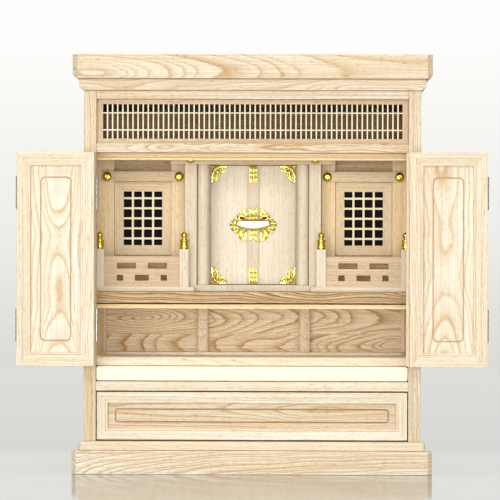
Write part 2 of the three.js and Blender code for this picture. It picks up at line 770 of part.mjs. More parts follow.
// Side shrine front: two jambs up to the ceiling, a beam lapped over them with a thin wall set back
// above it, a board below, and a window that a small lattice fills
function addSideShrine(word, side) {
  const front = sideShrineSetback;
  const back = front + sideShrineThickness;
  const bottom = shelfTop + fit;
  const windowBottom = bottom + sideWindowBottom;
  const windowTop = windowBottom + sideWindowHeight;
  const windowInner = sideShrineCentre - sideWindowWidth / 2;
  const windowLimits = span(side, windowInner, windowInner + sideWindowWidth);
  const innerEdge = windowInner - sideInnerJamb;
  const body = block(span(side, innerEdge, insideHalf), [at(front), at(back)], [bottom, openingTop]);
  const recessAboveBeam = block(windowLimits, [at(front - fit), at(back - sideTopWall)],
    [windowTop + sideBeamHeight, openingTop + fit]);
  const window = block(windowLimits, [at(front - fit), at(back + fit)], [windowBottom, windowTop]);
  const beam = block(span(side, innerEdge, insideHalf - pilasterWidth),
    [at(front - sideBeamThickness), at(front + fit)], [windowTop, windowTop + sideBeamHeight]);
  const pilaster = block(span(side, insideHalf - pilasterWidth, insideHalf),
    [at(front - pilasterReach), at(front + fit)], [bottom, openingTop]);
  const standing = cut(body, recessAboveBeam, window);
  add(`${word}_shrine_front`, cypress, join(standing, beam, pilaster));

  const lattice = [windowLimits[0] + fit, windowLimits[1] - fit];
  const latticeZ = [windowBottom + fit, windowTop - fit];
  const fieldX = [lattice[0] + sideLatticeSide, lattice[1] - sideLatticeSide];
  const fieldZ = [latticeZ[0] + sideLatticeEnd, latticeZ[1] - sideLatticeEnd];
  const column = (fieldX[1] - fieldX[0] - (sideLatticeColumns - 1) * sideLatticeBar) / sideLatticeColumns;
  const innerHeight = fieldZ[1] - fieldZ[0] - 2 * sideLatticeEndRow - (sideLatticeRows - 1) * sideLatticeBar;
  const rowHeights = Array.from({ length: sideLatticeRows }, (_, row) => (
    row === 0 || row === sideLatticeRows - 1 ? sideLatticeEndRow : innerHeight / (sideLatticeRows - 2)));
  const openings = [];
  let low = fieldZ[0];
  for (const rowHeight of rowHeights) {
    for (let i = 0; i < sideLatticeColumns; i += 1) {
      const left = fieldX[0] + i * (column + sideLatticeBar);
      openings.push([[left, left + column], [low, low + rowHeight]]);
    }
    low += rowHeight + sideLatticeBar;
  }
  const latticeDepth = [front + sideLatticeSetback, front + sideLatticeSetback + sideLatticeThickness];
  add(`${word}_shrine_lattice`, cypress, perforatedBoard(lattice, latticeZ, latticeDepth, openings));
}

// Fence on its sill, with two rows of cut-outs between two posts
function addFence(word, side) {
  const bottom = shelfTop + fit;
  const outerEdge = insideHalf;
  const middle = fenceSetback + fenceSillDepth / 2;
  const centre = (fenceInnerPost + outerEdge) / 2;
  const sillDepth = [at(fenceSetback), at(fenceSetback + fenceSillDepth)];
  const sillZ = [bottom, bottom + fenceSillHeight];
  const sill = block(span(side, fenceSillInner, outerEdge), sillDepth, sillZ);
  const postDepth = [at(middle - fencePost / 2), at(middle + fencePost / 2)];
  const postZ = [bottom, bottom + fencePostHeight];
  const posts = [fenceInnerPost, outerEdge - fencePost].map((inner) => (
    block(span(side, inner, inner + fencePost), postDepth, postZ)));

  const panelTop = bottom + fenceSillHeight + fenceRailHeight;
  const fromCentre = (near, far) => span(side, centre + near, centre + far);
  const cutRow = (top, cuts) => cuts.map(([near, far]) => (
    [fromCentre(near, far), [top - fenceCutHeight, top]]));
  const upperTop = panelTop - fenceCutTop;
  const upperCuts = [[-fenceCutHalfSpan, -fenceUpperRib / 2], [fenceUpperRib / 2, fenceCutHalfSpan]];
  const lowerCuts = [
    [-fenceCutHalfSpan, fenceLowerEndCut - fenceCutHalfSpan],
    [-fenceLowerMiddleCut / 2, fenceLowerMiddleCut / 2],
    [fenceCutHalfSpan - fenceLowerEndCut, fenceCutHalfSpan],
  ];
  const openings = [...cutRow(upperTop, upperCuts), ...cutRow(upperTop - fenceCutPitch, lowerCuts)];
  const panel = perforatedBoard(span(side, fenceInnerPost + fencePost / 2, outerEdge - fencePost / 2),
    [bottom + fenceSillHeight / 2, panelTop],
    [middle - fencePanelThickness / 2, middle + fencePanelThickness / 2], openings);
  add(`${word}_fence`, cypress, join(sill, ...posts, panel));

  const finialX = [['inner', fenceInnerPost + fencePost / 2], ['outer', outerEdge - fencePost / 2]];
  for (const [place, x] of finialX) {
    add(`${word}_finial_${place}`, gold, finial().translate(side * x, at(middle), postZ[1] + fit));
  }
}

// Onion-shaped finial: a collar, a slightly tapered sleeve, a ring, a neck and a pointed bulb, as
// shares of its radius and height
function finial() {
  const outline = [
    [0, 0], [1, 0], [1, 0.06], [0.93, 0.09], [0.84, 0.4], [0.92, 0.47], [0.9, 0.53],
    [0.5, 0.6], [0.45, 0.64], [0.66, 0.72], [0.72, 0.79], [0.6, 0.88], [0.3, 0.95], [0, 1],
  ];
  const points = outline.map(([r, h]) => new THREE.Vector2(r * finialRadius, h * finialHeight));
  return new THREE.LatheGeometry(points, finialSides).rotateX(Math.PI / 2);
}

addBase();
addCarcass();
addCrown();
addTransom();
addCeiling();
addStop();
addNiche();
addMiddleRail();
addPullOutBoard();
addDrawer();
addDoors();
addMiddleShrine();
for (const [word, side] of sides) {
  addSideShrine(word, side);
  addFence(word, side);
}

export default cabinet;
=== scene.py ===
# Looks of the household altar cabinet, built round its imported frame. Metres, +Z up, front towards -Y.
# Pale ash outside, cypress shrine inside, gold fittings on the shrine and steel hinges on the doors.

import json
import math
from collections import namedtuple

import bmesh
import bpy
import numpy as np
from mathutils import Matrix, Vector
from mathutils.geometry import tessellate_polygon


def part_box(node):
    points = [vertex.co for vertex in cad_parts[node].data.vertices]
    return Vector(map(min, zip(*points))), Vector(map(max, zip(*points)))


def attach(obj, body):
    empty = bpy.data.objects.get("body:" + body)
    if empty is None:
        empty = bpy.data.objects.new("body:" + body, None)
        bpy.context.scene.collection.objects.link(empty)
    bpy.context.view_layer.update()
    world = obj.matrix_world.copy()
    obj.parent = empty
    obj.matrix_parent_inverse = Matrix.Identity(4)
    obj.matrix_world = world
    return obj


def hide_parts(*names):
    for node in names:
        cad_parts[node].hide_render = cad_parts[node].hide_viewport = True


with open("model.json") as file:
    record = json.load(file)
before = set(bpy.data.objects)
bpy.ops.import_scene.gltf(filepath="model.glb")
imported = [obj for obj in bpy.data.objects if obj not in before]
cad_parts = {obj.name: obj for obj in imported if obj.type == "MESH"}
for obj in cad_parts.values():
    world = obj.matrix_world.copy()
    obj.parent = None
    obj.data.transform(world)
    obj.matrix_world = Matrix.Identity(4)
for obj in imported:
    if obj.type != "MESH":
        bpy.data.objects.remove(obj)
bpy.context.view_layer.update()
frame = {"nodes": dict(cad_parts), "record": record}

MM = 0.001
X, Y, Z = 0, 1, 2
SIDES = (("left", -1), ("right", 1))
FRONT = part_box("left_front_stile")[0].y
BODY_OF = {node: body for body, nodes in frame["record"]["behaviour"]["bodies"].items() for node in nodes}

# Edges are rounded where two faces meet at more than this angle
SHARP = math.radians(30)
SMOOTH = math.radians(48)


def depth(millimetres):
    """Y of a place that lies this far behind the front face of the cabinet body."""
    return FRONT + millimetres * MM


def middle(node):
    low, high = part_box(node)
    return (low + high) / 2


def linear(hex_colour):
    """An sRGB colour given as rrggbb, in the linear values that a shader takes."""
    channels = [int(hex_colour[i:i + 2], 16) / 255 for i in (0, 2, 4)]
    return tuple(c / 12.92 if c <= 0.04045 else ((c + 0.055) / 1.055) ** 2.4 for c in channels) + (1.0,)


# Shader trees

class Shader:
    """Builds one material. Its methods return output sockets."""

    def __init__(self, name):
        self.material = bpy.data.materials.new(name)
        self.material.use_nodes = True
        self.tree = self.material.node_tree
        self.surface = self.tree.nodes["Principled BSDF"]

    def feed(self, socket, value):
        if isinstance(value, bpy.types.NodeSocket):
            self.tree.links.new(value, socket)
        else:
            socket.default_value = value

    def node(self, kind, inputs=None, **settings):
        node = self.tree.nodes.new(kind)
        for key, value in settings.items():
            setattr(node, key, value)
        for key, value in (inputs or {}).items():
            self.feed(node.inputs[key], value)
        return node

    def math(self, operation, *values):
        node = self.node("ShaderNodeMath", operation=operation)
        for socket, value in zip(node.inputs, values):
            self.feed(socket, value)
        return node.outputs[0]

    def vector(self, operation, *values):
        node = self.node("ShaderNodeVectorMath", operation=operation)
        for socket, value in zip(node.inputs, values):
            self.feed(socket, value)
        return node.outputs[0]

    def ramp(self, factor, stops):
        """A smooth curve from 0 to 1 through (position, value) stops."""
        node = self.node("ShaderNodeValToRGB", {"Fac": factor})
        elements = node.color_ramp.elements
        while len(elements) < len(stops):
            elements.new(0.5)
        for element, (position, value) in zip(elements, stops):
            element.position = position
            element.color = (value, value, value, 1)
        return node.outputs["Color"]

    def noise(self, vector, detail=2.0, roughness=0.5):
        settings = {"Vector": vector, "Scale": 1.0, "Detail": detail, "Roughness": roughness}
        return self.node("ShaderNodeTexNoise", settings).outputs["Fac"]

    def noise_along(self, value, scale, seed):
        """Noise from -1 to 1 that depends on one value alone."""
        place = self.math("MULTIPLY_ADD", value, scale, seed)
        node = self.node("ShaderNodeTexNoise", noise_dimensions="1D")
        self.feed(node.inputs["W"], place)
        self.feed(node.inputs["Scale"], 1.0)
        self.feed(node.inputs["Detail"], 1.0)
        return self.math("MULTIPLY_ADD", node.outputs["Fac"], 2.0, -1.0)

    def mix(self, factor, first, second, blend="MIX"):
        node = self.node("ShaderNodeMix", data_type="RGBA", blend_type=blend)
        self.feed(node.inputs[0], factor)
        self.feed(node.inputs[6], first)
        self.feed(node.inputs[7], second)
        return node.outputs[2]

    def bump(self, height, strength, distance):
        node = self.node("ShaderNodeBump", {"Height": height, "Strength": strength, "Distance": distance})
        self.feed(self.surface.inputs["Normal"], node.outputs["Normal"])

    def attribute(self, name):
        return self.node("ShaderNodeAttribute", attribute_name=name).outputs["Fac"]


# A tone is the colours of one wood: between the growth rings, on them, broad warm patches, and pores
Tone = namedtuple("Tone", "light line warm pore")
PALE_ASH = Tone("ebdfcb", "bd945f", "dfcaa6", "a1774a")
BRIGHT_ASH = Tone("f1e7d8", "d0b083", "e9d9be", "b99362")
CREAM_ASH = Tone("f2e9da", "cfae83", "eadbc5", "bc976a")
SHADED_ASH = Tone("fff4dd", "c0955c", "f9e9c8", "9c7745")
# SHADED_SHELF_ASH is a darker copy of the ash: painted shade for the shelf and the wall over the side beams
SHADED_SHELF_ASH = Tone("dfc59e", "8d6329", "cfad79", "6a4719")
# WARM_SHADE_ASH is a warmer, lighter copy of the ash for the door stop and niche top: its warmth is painted shade, its
# lightness painted light
WARM_SHADE_ASH = Tone("ffe9c0", "e4ba7c", "f8daa4", "c89e68")
CYPRESS = Tone("e7dcc9", "cbb08c", "e0d0b6", "bb9b72")
FENCE_CYPRESS = Tone("dfcfb4", "b8926a", "d2ba97", "a67f55")
FENCE_SHADE_CYPRESS = Tone("d8ae7a", "a97c49", "c99c66", "86602f")
JAMB_CYPRESS = Tone("f6e0ba", "d8b27c", "edcf9e", "c09660")
DOOR_CYPRESS = Tone("f5ebdb", "dbc2a2", "eedfc9", "cbac85")
TAN_CYPRESS = Tone("e8d5b4", "c9a475", "ddc39b", "b2885a")
PINK_WOOD = Tone("dfc9ab", "b8926d", "d2b08c", "9a7553")
SLAT_WOOD = Tone("faf0d6", "e8d3a8", "f3e3bd", "d6ba8c")
BROWN_WOOD = Tone("7f6240", "583d22", "6f5231", "3e2a16")

# A figure is the shape of the grain: ring spacing, where the pith lies across and behind the middle of
# the board, how it slants, bows and swings along the board, how strong the lines are, and their waviness
Figure = namedtuple("Figure", "spacing pith_across pith_through slope bow swing swing_length contrast ripple")
STRAIGHT = Figure(2.4 * MM, 260 * MM, 40 * MM, 0.01, 0.0, 3 * MM, 0.35, 0.45, 0.5 * MM)
RIFT = Figure(3.2 * MM, 48 * MM, 30 * MM, 0.05, 0.0, 6 * MM, 0.22, 0.75, 1.0 * MM)
CATHEDRAL = Figure(5.5 * MM, 4 * MM, 40 * MM, 0.10, 0.0, 9 * MM, 0.20, 0.9, 2.0 * MM)


def wood(name, along, across, centre, tone, figure, seed):
    """Wood cut from a log of growth rings round a wandering pith, with pores along the grain."""
    shader = Shader(name)
    through = 3 - along - across
    place = shader.node("ShaderNodeTexCoord").outputs["Object"]
    local = shader.vector("SUBTRACT", place, tuple(centre))
    axes = shader.node("ShaderNodeSeparateXYZ", {"Vector": local}).outputs

    def stretched(along_scale, cross_scale):
        scale = [cross_scale] * 3
        scale[along] = along_scale
        scaled = shader.vector("MULTIPLY", local, tuple(scale))
        return shader.vector("ADD", scaled, (seed * 3.7, seed * 5.3, seed * 7.9))

    drift = shader.noise_along(axes[along], 1 / figure.swing_length, seed)
    waver = shader.noise_along(axes[along], 1.7 / figure.swing_length, seed + 11.3)
    across_pith = shader.math("MULTIPLY_ADD", waver, figure.swing * 0.6,
                              shader.math("SUBTRACT", axes[across], figure.pith_across))
    bent = shader.math("MULTIPLY_ADD", axes[along], figure.bow, figure.slope)
    slant = shader.math("MULTIPLY_ADD", axes[along], bent, -figure.pith_through)
    through_pith = shader.math("MULTIPLY_ADD", drift, figure.swing, shader.math("ADD", axes[through], slant))
    radius = shader.math("SQRT", shader.math("ADD", shader.math("POWER", across_pith, 2.0),
                                             shader.math("POWER", through_pith, 2.0)))
    ripple = shader.math("SUBTRACT", shader.noise(stretched(9, 45), 3.0), 0.5)
    radius = shader.math("MULTIPLY_ADD", ripple, figure.ripple * 2, radius)
    jitter = shader.math("SUBTRACT", shader.noise(stretched(60, 500), 1.0), 0.5)
    radius = shader.math("MULTIPLY_ADD", jitter, figure.spacing * 0.13, radius)
    rings = shader.math("MULTIPLY", radius, 1 / figure.spacing)
    uneven = shader.noise_along(rings, 0.37, seed + 23.9)
    rings = shader.math("MULTIPLY_ADD", uneven, 0.9, rings)
    phase = shader.math("FRACT", rings)
    line = shader.ramp(phase, ((0, 0.8), (0.05, 1), (0.14, 0.6), (0.34, 0.25), (0.7, 0.05), (0.94, 0.1), (1, 0.8)))
    year = shader.noise_along(shader.math("FLOOR", rings), 0.73, seed + 31.7)
    line = shader.math("MULTIPLY", line, shader.math("MULTIPLY_ADD", year, 0.55, 0.85))

    fibre = shader.noise(stretched(120, 900), 1.0, 0.5)
    pores = shader.ramp(fibre, ((0.55, 0), (0.62, 0.6), (0.7, 1)))
    streak = shader.noise(stretched(5, 520), 2.0, 0.6)
    fleck = shader.noise(stretched(12, 300), 3.0, 0.65)
    broad = shader.ramp(shader.noise(stretched(2.2, 11), 1.0), ((0.35, 0), (0.65, 1)))

    strength = shader.math("MULTIPLY", line, shader.math("MULTIPLY_ADD", fleck, 1.0, 0.5))
    strength = shader.math("MULTIPLY", strength, figure.contrast)
    base = shader.mix(shader.math("MULTIPLY", broad, 0.7), linear(tone.light), linear(tone.warm))
    base = shader.mix(shader.ramp(fleck, ((0.35, 0.22), (0.6, 0))), base, linear(tone.line))
    base = shader.mix(shader.ramp(streak, ((0.36, 0.42), (0.56, 0))), base, linear(tone.line))
    colour = shader.mix(strength, base, linear(tone.line))
    pore_share = shader.math("MULTIPLY", pores, shader.math("MULTIPLY_ADD", line, 0.5, 0.26))
    colour = shader.mix(pore_share, colour, linear(tone.pore))
    # Rounded edges are mixed towards the light tone: partly real wear, partly a painted highlight where an edge
    # catches light
    colour = shader.mix(shader.math("MULTIPLY", shader.attribute("arris"), 0.3), colour, linear(tone.light))
    # Grooves are mixed towards the pore colour: partly cut end grain, partly painted shade in the groove
    colour = shader.mix(shader.math("MULTIPLY", shader.attribute("groove_grain_and_shade"), 0.75), colour, linear(tone.pore))
    shader.feed(shader.surface.inputs["Base Color"], colour)

    rough = shader.math("MULTIPLY_ADD", pores, 0.16, shader.math("MULTIPLY_ADD", fleck, 0.14, 0.42))
    shader.feed(shader.surface.inputs["Roughness"], rough)
    shader.surface.inputs["Specular IOR Level"].default_value = 0.3
    height = shader.math("MULTIPLY_ADD", pores, -0.8, shader.math("MULTIPLY", line, -0.5))
    height = shader.math("MULTIPLY_ADD", fleck, 0.5, height)
    shader.bump(height, 0.45, 0.25 * MM)
    return shader.material


def gold(name, light, dark, hollow_shade_colour, shine=0.16):
    """Gold plate with faint tool marks. Hollows in its relief are painted darker, as painted shade, and are duller."""
    shader = Shader(name)
    place = shader.node("ShaderNodeTexCoord").outputs["Object"]
    cloud = shader.noise(shader.vector("MULTIPLY", place, (160, 160, 160)), 3.0)
    marks = shader.noise(shader.vector("MULTIPLY", place, (900, 900, 900)), 2.0)
    hollow = shader.attribute("hollow")
    colour = shader.mix(cloud, linear(light), linear(dark))
    # Marked hollows are mixed towards a dark colour: painted shade
    colour = shader.mix(shader.math("MULTIPLY", hollow, 0.9), colour, linear(hollow_shade_colour))
    shader.feed(shader.surface.inputs["Base Color"], colour)
    rough = shader.math("MULTIPLY_ADD", cloud, 0.12, shine)
    rough = shader.math("MULTIPLY_ADD", hollow, 0.3, rough)
    shader.feed(shader.surface.inputs["Roughness"], rough)
    shader.surface.inputs["Metallic"].default_value = 1.0
    shader.bump(shader.math("MULTIPLY_ADD", marks, 0.3, cloud), 0.12, 0.2 * MM)
    return shader.material


def steel(name):
    """Brushed hinge steel with fine scratches and a few duller spots."""
    shader = Shader(name)
    place = shader.node("ShaderNodeTexCoord").outputs["Object"]
    brushed = shader.noise(shader.vector("MULTIPLY", place, (2600, 2600, 60)), 2.0)
    spots = shader.noise(shader.vector("MULTIPLY", place, (240, 240, 240)), 3.0)
    colour = shader.mix(spots, linear("c4c4c2"), linear("908f8c"))
    shader.feed(shader.surface.inputs["Base Color"], colour)
    rough = shader.math("MULTIPLY_ADD", brushed, 0.22, 0.16)
    shader.feed(shader.surface.inputs["Roughness"], rough)
    shader.surface.inputs["Metallic"].default_value = 1.0
    shader.bump(brushed, 0.15, 0.1 * MM)
    return shader.material


def lining(name):
    """Dark cloth behind the small lattices, with a fine weave."""
    shader = Shader(name)
    place = shader.node("ShaderNodeTexCoord").outputs["Object"]
    axes = shader.node("ShaderNodeSeparateXYZ", {"Vector": place}).outputs
    threads = [shader.math("SINE", shader.math("MULTIPLY", axes[axis], 9000.0)) for axis in (X, Z)]
    weave = shader.math("MULTIPLY_ADD", shader.math("MULTIPLY", *threads), 0.5, 0.5)
    colour = shader.mix(weave, linear("0c0808"), linear("1a1311"))
    shader.feed(shader.surface.inputs["Base Color"], colour)
    shader.feed(shader.surface.inputs["Roughness"], shader.math("MULTIPLY_ADD", weave, 0.1, 0.85))
    shader.surface.inputs["Specular IOR Level"].default_value = 0.15
    shader.bump(weave, 0.4, 0.1 * MM)
    return shader.material


# Solids, each built in a bmesh of its own and then taken into a piece

def new_part():
    part = bmesh.new()
    part.faces.layers.float.new("arris")
    part.verts.layers.float.new("groove_grain_and_shade")
    part.verts.layers.float.new("hollow")
    return part


def soften(part, width, segments=2):
    """Rounds every sharp edge of a part and marks the new faces for a lighter colour in the wood: partly wear, partly
    painted highlight.
    """
    part.normal_update()
    edges = [e for e in part.edges if e.is_manifold and e.calc_face_angle(0.0) > SHARP]
    if width <= 0 or not edges:
        return part
    made = bmesh.ops.bevel(part, geom=edges, offset=width, offset_type="OFFSET", segments=segments,
                           profile=0.5, affect="EDGES", clamp_overlap=True, material=-1)
    arris = part.faces.layers.float["arris"]
    for face in made["faces"]:
        face[arris] = 1.0
    return part


def block(x, y, z, width=0.6 * MM):
    """Board with rounded edges, between two limits on each axis."""
    part = new_part()
    bmesh.ops.create_cube(part, size=1.0)
    low, high = Vector((x[0], y[0], z[0])), Vector((x[1], y[1], z[1]))
    for vertex in part.verts:
        vertex.co = (low + high) / 2 + vertex.co * (high - low)
    return soften(part, width)


def from_node(node, width=0.6 * MM, segments=2):
    """The solid of a CAD node, with its sharp edges rounded."""
    part = new_part()
    part.from_mesh(frame["nodes"][node].data)
    bmesh.ops.remove_doubles(part, verts=part.verts, dist=0.002 * MM)
    bmesh.ops.dissolve_limit(part, angle_limit=math.radians(0.4), verts=part.verts, edges=part.edges)
    return soften(part, width, segments)


def prism(outline, near, far, place, width=0.0):
    """Runs a closed outline of (u, v) from near to far. place turns (u, v, w) into a point."""
    part = new_part()
    ends = [[part.verts.new(place(u, v, w)) for u, v in outline] for w in (near, far)]
    part.faces.new(ends[0])
    part.faces.new(list(reversed(ends[1])))
    count = len(outline)
    for i in range(count):
        j = (i + 1) % count
        part.faces.new((ends[0][i], ends[1][i], ends[1][j], ends[0][j]))
    bmesh.ops.recalc_face_normals(part, faces=part.faces)
    return soften(part, width)


def lathe(profile, centre, axis=Z, sides=40):
    """Turned solid. The profile is (radius, height) from one end to the other, both ends closed."""
    part = new_part()
    rings = []
    for radius, height in profile:
        ring = []
        for i in range(sides):
            angle = 2 * math.pi * i / sides
            offset = [0.0, 0.0, 0.0]
            offset[(axis + 1) % 3] = radius * math.cos(angle)
            offset[(axis + 2) % 3] = radius * math.sin(angle)
            offset[axis] = height
            ring.append(part.verts.new(Vector(centre) + Vector(offset)))
        rings.append(ring)
    for lower, upper in zip(rings, rings[1:]):
        for i in range(sides):
            j = (i + 1) % sides
            part.faces.new((lower[i], lower[j], upper[j], upper[i]))
    part.faces.new(list(reversed(rings[0])))
    part.faces.new(rings[-1])
    bmesh.ops.recalc_face_normals(part, faces=part.faces)
    return part


def sweep(points, radii, sides=16, roundness=1.0):
    """Bar along points in the plane of the front view, with flat ends. A roundness below 1 squares it."""
    def bulge(value):
        return math.copysign(abs(value) ** roundness, value)

    part = new_part()
    rings = []
    for i, (point, (tall, thick)) in enumerate(zip(points, radii)):
        before, after = points[max(i - 1, 0)], points[min(i + 1, len(points) - 1)]
        run = (after - before).normalized()
        up = Vector((-run.z, 0, run.x))
        ring = []
        for k in range(sides):
            angle = 2 * math.pi * k / sides
            offset = up * (tall * bulge(math.cos(angle))) + Vector((0, thick * bulge(math.sin(angle)), 0))
            ring.append(part.verts.new(point + offset))
        rings.append(ring)
    for first, second in zip(rings, rings[1:]):
        for k in range(sides):
            j = (k + 1) % sides
            part.faces.new((first[k], first[j], second[j], second[k]))
    part.faces.new(list(reversed(rings[0])))
    part.faces.new(rings[-1])
    bmesh.ops.recalc_face_normals(part, faces=part.faces)
    return part


class Piece:
    """Collects parts, each with its own finish, into one object that rides a body."""

    def __init__(self, name):
        self.name = name
        self.part = new_part()
        self.finishes = []

    def take(self, part, finish, choose=None):
        """choose, where given, turns a face into one of several finishes."""
        options = finish if isinstance(finish, (list, tuple)) else [finish]
        for option in options:
            if option not in self.finishes:
                self.finishes.append(option)
        for face in part.faces:
            option = options[choose(face)] if choose else options[0]
            face.material_index = self.finishes.index(option)
        mesh = bpy.data.meshes.new("part")
        part.to_mesh(mesh)
        part.free()
        self.part.from_mesh(mesh)
        bpy.data.meshes.remove(mesh)
        return self

    def done(self, body, slot, *nodes):
        mesh = bpy.data.meshes.new(self.name)
        self.part.normal_update()
        self.part.to_mesh(mesh)
        self.part.free()
        for finish in self.finishes:
            mesh.materials.append(finish)
        mesh.shade_smooth()
        mesh.set_sharp_from_angle(angle=SMOOTH)
        piece = bpy.data.objects.new(self.name, mesh)
        bpy.context.scene.collection.objects.link(piece)
        even = piece.modifiers.new("even_normals", "WEIGHTED_NORMAL")
        even.keep_sharp = True
        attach(piece, body)
        if nodes:
            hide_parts(*nodes)
        return piece


def dress(node, slot, finish, width=0.6 * MM, choose=None, segments=2):
    """A CAD node with rounded edges and a finish."""
    return Piece(node + "_wood").take(from_node(node, width, segments), finish, choose).done(
        BODY_OF[node], slot, node)


# Cabinet body

def cap_slab():
    """Thick board that is slanted under its sides and cut off at 45 degrees at its front corners."""
    low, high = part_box("top_cap")
    cut, under, rise = 7.8 * MM, 7.2 * MM, 5.2 * MM
    part = new_part()
    rings = []
    for z, inset in ((low.z, under), (low.z + rise, 0), (high.z, 0)):
        x0, x1, y0, corner = low.x + inset, high.x - inset, low.y, cut - inset
        plan = ((x0 + corner, y0), (x1 - corner, y0), (x1, y0 + corner), (x1, high.y), (x0, high.y), (x0, y0 + corner))
        rings.append([part.verts.new((x, y, z)) for x, y in plan])
    for lower, upper in zip(rings, rings[1:]):
        for i in range(len(lower)):
            j = (i + 1) % len(lower)
            part.faces.new((lower[i], lower[j], upper[j], upper[i]))
    part.faces.new(rings[0])
    part.faces.new(rings[-1])
    bmesh.ops.recalc_face_normals(part, faces=part.faces)
    return soften(part, 0.5 * MM, 3)


def cornice_slab():
    """Thinner board under the cap, slanted under its sides only."""
    low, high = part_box("cornice")
    under, rise = 6.4 * MM, 4.6 * MM
    outline = [(low.x + under, low.z), (high.x - under, low.z), (high.x, low.z + rise), (high.x, high.z),
               (low.x, high.z), (low.x, low.z + rise)]
    return prism(outline, low.y, high.y, lambda u, v, w: (u, w, v), 1.4 * MM)


def dress_body():
    plain = (
        # node, grain along, across, tone, figure, edge
        ("left_side_panel", Z, Y, PALE_ASH, CATHEDRAL._replace(spacing=9 * MM, swing=20 * MM), 1.0),
        ("right_side_panel", Z, Y, PALE_ASH, CATHEDRAL._replace(spacing=9 * MM, swing=20 * MM), 1.0),
        ("left_front_stile", Z, X, PALE_ASH, RIFT, 0.7),
        ("right_front_stile", Z, X, PALE_ASH, RIFT, 0.7),
        ("back_panel", Z, X, SHADED_ASH, CATHEDRAL._replace(spacing=11 * MM, swing=26 * MM), 0.4),
        ("upper_rail", X, Z, PALE_ASH, RIFT._replace(pith_across=90 * MM, contrast=0.5), 0.5),
        ("lintel_rail", X, Z, PALE_ASH,
         Figure(2.8 * MM, 1 * MM, 7 * MM, 0.035, 0.0, 7 * MM, 0.13, 1.0, 2.2 * MM), 0.5),
        ("base_board", X, Z, BRIGHT_ASH,
         Figure(2.6 * MM, 22 * MM, 16 * MM, 0.05, 0.0, 9 * MM, 0.35, 0.8, 1.2 * MM), 1.0),
        ("middle_rail", X, Z, BRIGHT_ASH, RIFT._replace(pith_across=70 * MM, contrast=0.4), 0.6),
        ("door_stop", X, Z, WARM_SHADE_ASH, RIFT._replace(pith_across=60 * MM, contrast=0.35), 0.5),
        ("ceiling_board", X, Z, BROWN_WOOD, RIFT, 0.4),
        ("shrine_shelf", X, Z, SHADED_SHELF_ASH,
         Figure(2.1 * MM, 12 * MM, 18 * MM, 0.03, 0.0, 7 * MM, 0.2, 2.3, 1.6 * MM), 1.1),
    )
    for seed, (node, along, across, tone, figure, edge) in enumerate(plain):
        centre = middle(node)
        if Y not in (along, across):
            centre.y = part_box(node)[0].y
        finish = wood(node, along, across, centre, tone, figure, 1.7 + seed * 3.1)
        inner = tone in (WARM_SHADE_ASH, SHADED_ASH, SHADED_SHELF_ASH)
        dress(node, "inner_ash" if inner else "ash", finish, edge * MM)

    def at_the_face(node):
        centre = middle(node)
        centre.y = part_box(node)[0].y
        return centre

    cap = Figure(4.6 * MM, -9.5 * MM, -41.5 * MM, 0.12, -0.22, 5 * MM, 0.2, 0.75, 2.2 * MM)
    cap_wood = wood("top_cap", X, Z, at_the_face("top_cap"), PALE_ASH, cap, 41.7)
    Piece("top_cap_wood").take(cap_slab(), cap_wood).done(BODY_OF["top_cap"], "ash", "top_cap")
    moulded = Figure(2.8 * MM, -9 * MM, 18 * MM, 0.05, 0.16, 9 * MM, 0.22, 0.75, 1.4 * MM)
    cornice_wood = wood("cornice", X, Z, at_the_face("cornice"), BRIGHT_ASH._replace(line="bf9660"), moulded, 23.4)
    Piece("cornice_wood").take(cornice_slab(), cornice_wood).done(BODY_OF["cornice"], "ash", "cornice")
    foot = Figure(3.3 * MM, -36 * MM, 26 * MM, 0.10, -0.14, 7 * MM, 0.26, 1.1, 1.8 * MM)
    foot_tone = PALE_ASH._replace(light="f5eddc", warm="ead8b8")
    dress("plinth", "ash", wood("plinth", X, Z, at_the_face("plinth"), foot_tone, foot, 52.3), 1.2 * MM)


# Niche

